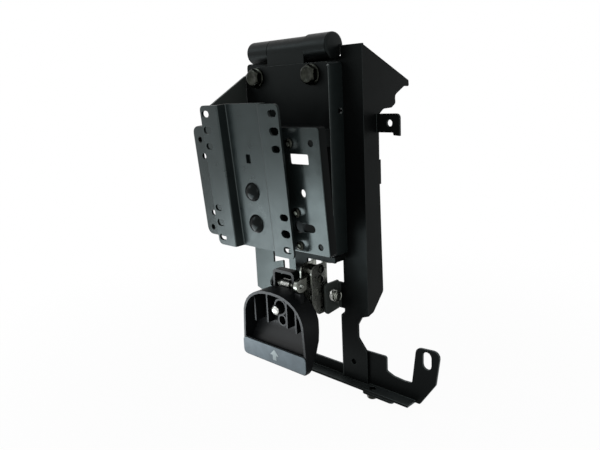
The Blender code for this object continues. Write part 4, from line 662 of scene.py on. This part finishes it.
class CARRIER_OT_bolts(bpy.types.Operator):
    """Makes the hexagon bolts, nuts and washers, with chamfers, dished tops and threads."""
    bl_idname = "carrier.bolts"
    bl_label = "Make the bolts"

    def execute(self, context):
        for side in ("1", "2"):
            self.hinge_set(side)
            self.carriage_set(side)
            self.hex_screw("hanger_screw_" + side, "swing", "zinc", "zinc_steel", *HANGER_SCREW)
        self.hex_screw("sill_bolt", "housing", "bolt", "dark_fastener", *SILL_BOLT)
        return {"FINISHED"}

    def hex_head(self, flats, height, dish):
        """Rows of a hexagon head: dished top, cone that cuts the corners, washer face."""
        inner = flats / 2
        rim = inner * CONE_RIM
        corner = flats / math.sqrt(3) + CORNER_SPARE
        cone = [(CONE_DEPTH * share, rim + (corner - rim) * share, HEX) for share in CONE_SHARES]
        top = plain((dish, 0.0), (dish, inner * DISH_FLOOR), (0.0, inner * DISH_RIM))
        return top + cone + [(height - FACE_STEP, corner, HEX), (height, corner - FACE_IN, HEX)]

    def hinge_set(self, side):
        """Hexagon bolt of the hinge, its washer with a rounded rim, and its nut."""
        node = "hinge_bolt_" + side
        place, length = seat(node, Y)
        rows = (self.hex_head(BOLT_FLATS, HINGE_HEAD, HINGE_DISH)
                + plain((HINGE_HEAD, BOLT_R), (HINGE_PLAIN, BOLT_R))
                + threaded(HINGE_PLAIN, length, BOLT_R, BOLT_TAPER, BOLT_TIP_R))
        grid = turned(rows, ALONG_Y, place)
        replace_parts(skin("hex_bolt_" + side, grid, "bolt", "swing", HEX_CRISP), node)
        node = "hinge_washer_" + side
        place = seat(node, Y)[0]
        rows = plain((0.0, WASHER_BORE), *((along, WASHER_R - inset) for along, inset in WASHER_ROUND),
                     (WASHER_T - WASHER_CHAMFER, WASHER_R), (WASHER_T, WASHER_R - WASHER_CHAMFER),
                     (WASHER_T, WASHER_BORE), (0.0, WASHER_BORE))
        grid = turned(rows, ALONG_Y, place)
        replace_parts(skin("washer_" + side, grid, "bolt", "swing"), node)
        node = "hinge_nut_" + side
        place, height = seat(node, Y)
        self.nut("hex_nut_" + side, node, height, ALONG_Y, place)

    def nut(self, name, node, height, axes, place):
        """Hexagon nut: cones at both ends, a countersunk bore."""
        cone = [(CONE_DEPTH * share, NUT_FACE_R + NUT_FLARE * share, HEX) for share in CONE_SHARES]
        other = [(height - along, radius, kind) for along, radius, kind in reversed(cone)]
        rows = (plain((NUT_SINK, NUT_BORE), (0.0, NUT_SINK_R)) + cone + other
                + plain((height, NUT_SINK_R), (height - NUT_SINK, NUT_BORE), (NUT_SINK, NUT_BORE)))
        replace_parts(skin(name, turned(rows, axes, place), "zinc", "swing", HEX_CRISP), node)

    def carriage_set(self, side):
        """Carriage bolt: a domed head, radius over height along a circle's arc, on a threaded shank."""
        node = "carriage_bolt_" + side
        place = leaning_seat(node, ALONG_LEAN)
        arc = np.linspace(0.0, DOME_ARC, DOME_ROWS)
        rise = DOME_HEIGHT * (1 - np.cos(arc)) / (1 - math.cos(DOME_ARC))
        rows = (plain(*zip(rise, DOME_R * np.sin(arc) / math.sin(DOME_ARC)))
                + plain((DOME_SEAT, DOME_R - DOME_EDGE), (DOME_SEAT, BOLT_R), (DOME_PLAIN, BOLT_R))
                + threaded(DOME_PLAIN, DOME_LENGTH, BOLT_R, BOLT_TAPER, BOLT_TIP_R))
        grid = turned(rows, ALONG_LEAN, place)
        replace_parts(skin("dome_bolt_" + side, grid, "dome", "swing"), node)
        node = "carriage_nut_" + side
        place = middle(node) - np.array(ALONG_LEAN[2]) * DOME_NUT / 2 * MM
        self.nut("dome_nut_" + side, node, DOME_NUT, ALONG_LEAN, place)

    def hex_screw(self, node, body, finish, slot, radius, flats, head):
        """Small hexagon screw that stands on its head."""
        place, length = seat(node, Z)
        rows = (self.hex_head(flats, head, SCREW_DISH) + plain((head, radius))
                + threaded(head + SCREW_LEAD, length, radius, SCREW_TAPER, radius - SCREW_TAPER))
        grid = turned(rows, ALONG_Z, place, flats=flats, pitch=SCREW_PITCH)
        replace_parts(skin(node + "_hex", grid, finish, body, HEX_CRISP), node)


# Rivets and pins, in millimetres: a head is its radius and height
STANDOFF_HEAD, MID_HEAD, HEADER_HEAD = (3.5, 1.5), (3.6, 1.6), (3.6, 1.4)
LATCH_PIN_HEAD, PADDLE_PIN_HEAD = (3.4, 1.4), (3.8, 0.8)
RIVET_SHANK, PIN_SHANK = 2.0, 2.5
HEAD_FLAT, HEAD_ROWS, HEAD_SIDES = 0.35, 9, 32
# Set heads behind the plates, as shares of the front head, and their bevel
SET_HEIGHT, SET_FOOT, SET_EDGE, SET_TOP = 0.8, 0.85, 0.8, 0.6
SET_BEVEL, SET_BACK = 0.3, 0.1
STOP_HEAD, STOP_ROOT = (2.0, 0.9), 1.2
STOP_DEPTH, STOP_UP = -16.4 * MM, 71.7 * MM
# Screws: the recessed crown and the dome below it as shares (of height, of radius)
LEAF_SCREW_HEAD, LEAF_SCREW_SHANK, LEAF_SCREW_SIDES = (4.0, 2.0), 2.2, 64
CROWN = ((0.0, 0.0), (0.05, 0.15), (0.12, 0.3))
CROWN_EDGE = ((0.3, 0.55), (0.5, 0.78), (0.75, 0.94), (1.0, 1.0))
BLADE_WIDTH, BLADE_SHARE = 0.55, 0.55
PADDLE_SCREW_HEAD, PADDLE_SCREW_SHANK, PADDLE_SCREW_ROWS = (4.2, 2.4), 1.8, 14
FINE_PITCH, FINE_LEAD, FINE_TAPER, FINE_TIP = 0.8, 0.6, 0.7, 0.7
# Closed nut, and its place from the tray's rear upper right corner
CUP_R, CUP_BORE, CUP_FLOOR, CUP_LENGTH, CUP_CHAMFER = 3.2, 2.2, 4.2, 5.0, 0.4
CUP_IN, CUP_FORWARD, CUP_DOWN = 2.1 * MM, 3.7 * MM, 36.0 * MM
# Striker: the stud's rounded end as (along, inset), its collar, the arm that it passes and its ring
STUD_R, STUD_THREAD_R, STUD_TIP_R, STUD_TAPER = 3.5, 3.2, 2.6, 0.4
STUD_ROUND = ((0.0, 1.1), (0.3, 0.5), (0.9, 0.0))
COLLAR_R, COLLAR_T, COLLAR_CHAMFER = 5.2, 0.8, 0.2
ARM_T, ARM_TO_SPRING = 2.4, 2.6
RING_R, RING_FRONT, RING_REAR = 4.8, 0.3, 0.4
RING_BORE, RING_SINK_R, RING_SINK = 3.45, 3.9, 0.35


class CARRIER_OT_rivets(bpy.types.Operator):
    """Makes the rivets, latch pins, screws, closed nut and striker as turned pieces."""
    bl_idname = "carrier.rivets"
    bl_label = "Make the rivets"

    def execute(self, context):
        for number in range(1, 4):
            self.rivet("standoff_rivet_%d" % number, ALONG_Y, *STANDOFF_HEAD)
        for number in range(1, 6):
            self.rivet("mid_rivet_%d" % number, ALONG_LEAN, *MID_HEAD)
        for number in (1, 2):
            self.header_rivet("header_rivet_%d" % number)
            self.crossed_screw("leaf_screw_%d" % number)
        self.dome_screw("paddle_screw")
        for node in ("rotor_pin", "pawl_pin", "latch_spacer"):
            self.pin(node, *LATCH_PIN_HEAD, "bolt")
        self.pin("paddle_pin", *PADDLE_PIN_HEAD, "zinc")
        self.stop_rivet()
        self.blind_nut()
        self.striker()
        return {"FINISHED"}

    def round_head(self, radius, height):
        """Rows of a head whose edge is a quarter of an ellipse."""
        arc = np.linspace(0.0, np.pi / 2, HEAD_ROWS)
        rise = height * (1 - np.cos(arc))
        return plain((0.0, 0.0), *zip(rise, radius * (HEAD_FLAT + (1 - HEAD_FLAT) * np.sin(arc))))

    def rivet(self, node, axes, radius, height):
        """Rivet with a round head in front and a set head behind."""
        low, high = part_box(node)
        length = (high.y - low.y) / MM - SET_BACK
        set_head = length - height * SET_HEIGHT
        rows = self.round_head(radius, height) + plain(
            (height, RIVET_SHANK), (set_head, RIVET_SHANK), (set_head, radius * SET_FOOT),
            (length - SET_BEVEL, radius * SET_EDGE), (length, radius * SET_TOP), (length, 0.0))
        grid = turned(rows, axes, leaning_seat(node, axes), HEAD_SIDES)
        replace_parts(skin(node + "_head", grid, "bolt", "swing", HEAD_CRISP), node)

    def header_rivet(self, node):
        """Rivet of the header plate, its head behind."""
        radius, height = HEADER_HEAD
        place, length = seat(node, Y)
        place[Y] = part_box(node)[1].y
        rows = self.round_head(radius, height) + plain(
            (height, RIVET_SHANK), (length, RIVET_SHANK), (length, 0.0))
        grid = turned(rows, AGAINST_Y, place, HEAD_SIDES)
        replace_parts(skin(node + "_head", grid, "barrel", "housing", HEAD_CRISP), node)

    def screw_shank(self, height, length, shank):
        """Rows under a screw's head: a plain neck, then a thread to a narrow tip."""
        thread = threaded(height + FINE_LEAD, length, shank, FINE_TAPER, shank * FINE_TIP)
        return plain((height, shank)) + thread

    def crossed_screw(self, node):
        """Screw with a crossed recess in a low round head."""
        radius, height = LEAF_SCREW_HEAD
        place, length = seat(node, Y)
        crown = [(height * rise, radius * share, CROSS) for rise, share in CROWN]
        edge = plain(*((height * rise, radius * share) for rise, share in CROWN_EDGE))
        rows = crown + edge + self.screw_shank(height, length, LEAF_SCREW_SHANK)
        recess = (BLADE_WIDTH, radius * BLADE_SHARE, height * BLADE_SHARE)
        grid = turned(rows, ALONG_Y, place, LEAF_SCREW_SIDES, pitch=FINE_PITCH, recess=recess)
        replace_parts(skin(node + "_crossed", grid, "bolt", "housing", HEAD_CRISP), node)

    def dome_screw(self, node):
        """Drive screw with a plain round head: an arc from the crown to the rim, then a threaded shank."""
        radius, height = PADDLE_SCREW_HEAD
        place, length = seat(node, Y)
        arc = np.linspace(0.0, np.pi / 2, PADDLE_SCREW_ROWS)
        rows = (plain(*zip(height * (1 - np.cos(arc)), radius * np.sin(arc)))
                + self.screw_shank(height, length, PADDLE_SCREW_SHANK))
        grid = turned(rows, ALONG_Y, place, pitch=FINE_PITCH)
        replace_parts(skin(node + "_dome", grid, "spring", "paddle", HEAD_CRISP), node)

    def pin(self, node, radius, head, finish):
        """Pin along X with the same round head at both ends."""
        place, length = seat(node, X)
        cap = self.round_head(radius, head)
        other = [(length - along, edge, kind) for along, edge, kind in reversed(cap)]
        rows = cap + plain((head, PIN_SHANK), (length - head, PIN_SHANK)) + other
        grid = turned(rows, ALONG_X, place, HEAD_SIDES)
        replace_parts(skin(node + "_headed", grid, finish, "swing", HEAD_CRISP), node)

    def stop_rivet(self):
        """Round rivet head on the right latch plate."""
        radius, height = STOP_HEAD
        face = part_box("latch_plate_right")[1].x
        rows = self.round_head(radius, height) + plain((STOP_ROOT, radius), (STOP_ROOT, 0.0))
        grid = turned(rows, AGAINST_X, (face + height * MM, STOP_DEPTH, STOP_UP), HEAD_SIDES)
        skin("stop_rivet_head", grid, "spring", "swing", HEAD_CRISP)

    def blind_nut(self):
        """Closed nut behind the hole in the tray's right wall: a cup, its mouth to the hole."""
        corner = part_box("swing_tray")[1]
        place = (corner.x - CUP_IN, corner.y - CUP_FORWARD, corner.z - CUP_DOWN)
        rows = plain((CUP_FLOOR, 0.0), (CUP_FLOOR, CUP_BORE), (0.0, CUP_BORE), (0.0, CUP_R),
                     (CUP_LENGTH - CUP_CHAMFER, CUP_R), (CUP_LENGTH, CUP_R - CUP_CHAMFER),
                     (CUP_LENGTH, 0.0))
        skin("blind_nut", turned(rows, AGAINST_X, place, HEAD_SIDES), "barrel", "swing")

    def striker(self):
        """Striker: a stud with a rounded end and a collar against the arm, and the ring on its thread."""
        place, length = seat("striker_pin", X)
        arm = (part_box("striker_spring")[0].x - place[X]) / MM - ARM_TO_SPRING
        collar = arm - COLLAR_T
        back = arm + ARM_T
        rows = plain((0.0, 0.0), *((along, STUD_R - inset) for along, inset in STUD_ROUND),
                     (collar, STUD_R), (collar, COLLAR_R - COLLAR_CHAMFER),
                     (collar + COLLAR_CHAMFER, COLLAR_R), (arm, COLLAR_R), (arm, STUD_THREAD_R),
                     (back, STUD_THREAD_R))
        rows += threaded(back, length, STUD_THREAD_R, STUD_TAPER, STUD_TIP_R)
        grid = turned(rows, ALONG_X, place, pitch=FINE_PITCH)
        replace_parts(skin("striker_stud", grid, "zinc", "housing", HEAD_CRISP), "striker_pin")
        place, thick = seat("striker_nut", X)
        rows = plain((0.0, RING_BORE), (0.0, RING_R - RING_FRONT), (RING_FRONT, RING_R),
                     (thick - RING_REAR, RING_R), (thick, RING_R - RING_REAR), (thick, RING_SINK_R),
                     (thick - RING_SINK, RING_BORE), (0.0, RING_BORE))
        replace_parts(skin("striker_ring", turned(rows, ALONG_X, place), "zinc", "housing"),
                    "striker_nut")


# Springs
STRIKER_COIL_R, STRIKER_TURNS = 4.35 * MM, 3.25
PADDLE_COIL_R, PADDLE_TURNS = 3.8 * MM, 7.25
LEAD_LENGTH, LEAD_POINTS, TAIL_POINTS = 1.6 * MM, 6, 8
LEG_GAP = 0.2 * MM


class CARRIER_OT_springs(bpy.types.Operator):
    """Winds the striker's compression spring and the paddle's torsion spring."""
    bl_idname = "carrier.springs"
    bl_label = "Wind the springs"

    def execute(self, context):
        sizes = context.scene.carrier_sizes
        self.striker_spring(sizes.striker_wire)
        self.paddle_spring(sizes.paddle_wire)
        return {"FINISHED"}

    def coil(self, node, pin, wire, radius, turns, first):
        """Screw line that fills the node's width round the pin's axis."""
        low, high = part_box(node)
        return helix(low.x + wire, high.x - low.x - 2 * wire, middle(pin)[1:], radius, turns, first)

    def striker_spring(self, wire):
        """Open coil beside the striker arm."""
        line = self.coil("striker_spring", "striker_pin", wire, STRIKER_COIL_R, STRIKER_TURNS, 0.0)
        piece = skin("striker_coil", tube(line, wire), "spring", "housing", WIRE_CRISP)
        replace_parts(piece, "striker_spring")

    def paddle_spring(self, wire):
        """Coil on the paddle's axle, with a short leg down at one end and one to the rear at the other."""
        line = self.coil("paddle_spring", "paddle_pin", wire, PADDLE_COIL_R, PADDLE_TURNS, np.pi)
        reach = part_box("paddle_spring")[1].y - line[-1, Y]
        down, rearward = np.array([0.0, 0.0, -1.0]), np.array([0.0, 1.0, 0.0])
        lead = line[:1] + down * np.linspace(LEAD_LENGTH, LEG_GAP, LEAD_POINTS)[:, None]
        tail = line[-1:] + rearward * np.linspace(LEG_GAP, reach - LEG_GAP, TAIL_POINTS)[:, None]
        grid = tube(np.concatenate([lead, line, tail]), wire)
        piece = skin("paddle_coil", grid, "spring", "swing", WIRE_CRISP)
        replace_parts(piece, "paddle_spring")


# Studio
FOCAL_PX = 603.68
IMAGE_WIDTH_PX = 600
SENSOR_MM = 36.0
NEAREST = 0.01
CAMERA_PLACE = (0.34552, -0.3598, 0.23125)
CAMERA_AZIMUTH = math.radians(44.65)
CAMERA_PITCH = math.radians(12.61)
CAMERA_ROLL = math.radians(-2.79)
FILL_LEVEL = 0.45
FLOOR_WHITE = "#EFEFEF"
FLOOR_R, FLOOR_SIDES, FLOOR_DROP = 4.0, 96, 0.4 * MM
GLOW_NEAR, GLOW_START, GLOW_END = 0.96, 0.1, 0.5
# Name, place, target, width and height, watts and colour of each soft light
LIGHTS = (
    ("key", (-0.45, -0.5, 0.6), (0.0, -0.06, 0.1), (0.3, 0.3), 0.9, "#F2FAFF"),
    ("table", (-0.215, -0.325, -0.012), (-0.22, -0.33, 1.0), (0.26, 0.5), 2.6, "#F2FAFF"),
    ("strip", (0.42, -0.3, 0.3), (0.02, -0.02, 0.15), (0.05, 0.4), 0.25, "#FFFFFF"))


def stage_camera():
    """Camera from azimuth, downward pitch and roll."""
    az, pitch, roll = CAMERA_AZIMUTH, CAMERA_PITCH, CAMERA_ROLL
    ahead = Vector((-math.sin(az) * math.cos(pitch), math.cos(az) * math.cos(pitch), -math.sin(pitch)))
    right = Vector((math.cos(az), math.sin(az), 0.0))
    up = right.cross(ahead)
    across = math.cos(roll) * right + math.sin(roll) * up
    upward = -math.sin(roll) * right + math.cos(roll) * up
    lens = bpy.data.cameras.new("camera")
    lens.sensor_fit = "HORIZONTAL"
    lens.sensor_width = SENSOR_MM
    lens.lens = FOCAL_PX / IMAGE_WIDTH_PX * SENSOR_MM
    lens.clip_start = NEAREST
    made = bpy.data.objects.new("camera", lens)
    turn = Matrix((across, upward, -ahead)).transposed().to_4x4()
    made.matrix_world = Matrix.Translation(CAMERA_PLACE) @ turn
    bpy.context.scene.collection.objects.link(made)
    bpy.context.scene.camera = made


def area_light(name, place, target, size, power, colour):
    """Soft rectangular light that the camera doesn't see."""
    lamp = bpy.data.lights.new(name, "AREA")
    lamp.shape = "RECTANGLE"
    lamp.size, lamp.size_y = size
    lamp.energy = power
    lamp.color = linear(colour)[:3]
    made = bpy.data.objects.new(name, lamp)
    made.location = place
    aim = Vector(target) - Vector(place)
    made.rotation_euler = aim.to_track_quat("-Z", "Y").to_euler()
    made.visible_camera = False
    bpy.context.scene.collection.objects.link(made)


def seen_directly(tree):
    """1 for rays from the camera, from glossy surfaces and through clear ones, 0 for diffuse light."""
    path = add_node(tree, "ShaderNodeLightPath").outputs
    near = add_node(tree, "ShaderNodeMath", {0: path["Is Camera Ray"], 1: path["Is Glossy Ray"]},
                    operation="MAXIMUM")
    return add_node(tree, "ShaderNodeMath", {0: near.outputs[0], 1: path["Is Transmission Ray"]},
                    operation="MAXIMUM").outputs[0]


def white_world():
    """White surround where it is seen, and a dimmer one as fill light."""
    world = bpy.data.worlds.new("studio")
    bpy.context.scene.world = world
    world.use_nodes = True
    tree = world.node_tree
    strength = add_node(tree, "ShaderNodeMapRange", {"Value": seen_directly(tree), "To Min": FILL_LEVEL,
                                                     "To Max": 1.0})
    set_inputs(tree, tree.nodes["Background"], {"Color": grey(1.0), "Strength": strength.outputs["Result"]})


def white_floor():
    """Round pale floor: matt white under the lamps, its own white share growing to all of it far off."""
    ring = np.linspace(0.0, 2 * np.pi, FLOOR_SIDES, endpoint=False)
    level = np.full(FLOOR_SIDES, CAD_BOX[0].z - FLOOR_DROP)
    rim = np.stack([FLOOR_R * np.cos(ring), FLOOR_R * np.sin(ring), level], axis=1)
    mesh = bpy.data.meshes.new("floor")
    mesh.from_pydata(rim, [], [list(range(FLOOR_SIDES))])
    floor = bpy.data.objects.new("floor", mesh)
    bpy.context.scene.collection.objects.link(floor)
    made = bpy.data.materials.new("matt_white_floor")
    made.use_nodes = True
    tree = made.node_tree
    tree.nodes.remove(tree.nodes["Principled BSDF"])
    matt = add_node(tree, "ShaderNodeBsdfDiffuse", {"Color": linear(FLOOR_WHITE)})
    light = add_node(tree, "ShaderNodeEmission", {"Color": grey(1.0), "Strength": 1.0})
    place = add_node(tree, "ShaderNodeTexCoord").outputs["Object"]
    far = add_node(tree, "ShaderNodeVectorMath", {0: place}, operation="LENGTH").outputs["Value"]
    white = add_node(tree, "ShaderNodeMapRange", {
        "Value": far, "From Min": GLOW_START, "From Max": GLOW_END, "To Min": GLOW_NEAR, "To Max": 1.0},
        interpolation_type="SMOOTHSTEP")
    share = add_node(tree, "ShaderNodeMath", {0: seen_directly(tree), 1: white.outputs[0]},
                     operation="MULTIPLY")
    both = add_node(tree, "ShaderNodeMixShader", {0: share.outputs[0], 1: matt.outputs[0],
                                                  2: light.outputs[0]})
    set_inputs(tree, tree.nodes["Material Output"], {"Surface": both.outputs[0]})
    mesh.materials.append(made)


class CARRIER_OT_studio(bpy.types.Operator):
    """Sets the pale floor, the soft lights and the camera."""
    bl_idname = "carrier.studio"
    bl_label = "Set the studio"

    def execute(self, context):
        context.scene.view_settings.view_transform = "Standard"
        white_world()
        white_floor()
        for light in LIGHTS:
            area_light(*light)
        stage_camera()
        return {"FINISHED"}


class CARRIER_PT_panel(bpy.types.Panel):
    """Lists the carrier's sizes, colours and steps."""
    bl_idname = "CARRIER_PT_panel"
    bl_label = "Carrier"
    bl_space_type = "VIEW_3D"
    bl_region_type = "UI"
    bl_category = "Carrier"

    def draw(self, context):
        for group in (context.scene.carrier_sizes, context.scene.carrier_colours):
            for name in group.__annotations__:
                self.layout.prop(group, name)
        for step in STEPS:
            self.layout.operator(step.bl_idname)


STEPS = (CARRIER_OT_plates, CARRIER_OT_paddle, CARRIER_OT_bolts, CARRIER_OT_rivets, CARRIER_OT_springs,
         CARRIER_OT_studio)
CLASSES = (CarrierSizes, CarrierColours, *STEPS, CARRIER_PT_panel)


def register():
    """Registers the classes and gives the scene its sizes and colours."""
    for item in CLASSES:
        bpy.utils.register_class(item)
    bpy.types.Scene.carrier_sizes = bpy.props.PointerProperty(type=CarrierSizes)
    bpy.types.Scene.carrier_colours = bpy.props.PointerProperty(type=CarrierColours)


def unregister():
    """Takes the sizes, the colours and the classes away again."""
    del bpy.types.Scene.carrier_colours
    del bpy.types.Scene.carrier_sizes
    for item in reversed(CLASSES):
        bpy.utils.unregister_class(item)


def main():
    """Runs every step."""
    register()
    for step in STEPS:
        getattr(bpy.ops.carrier, step.bl_idname.split(".")[1])()


if __name__ == "__main__":
    main()
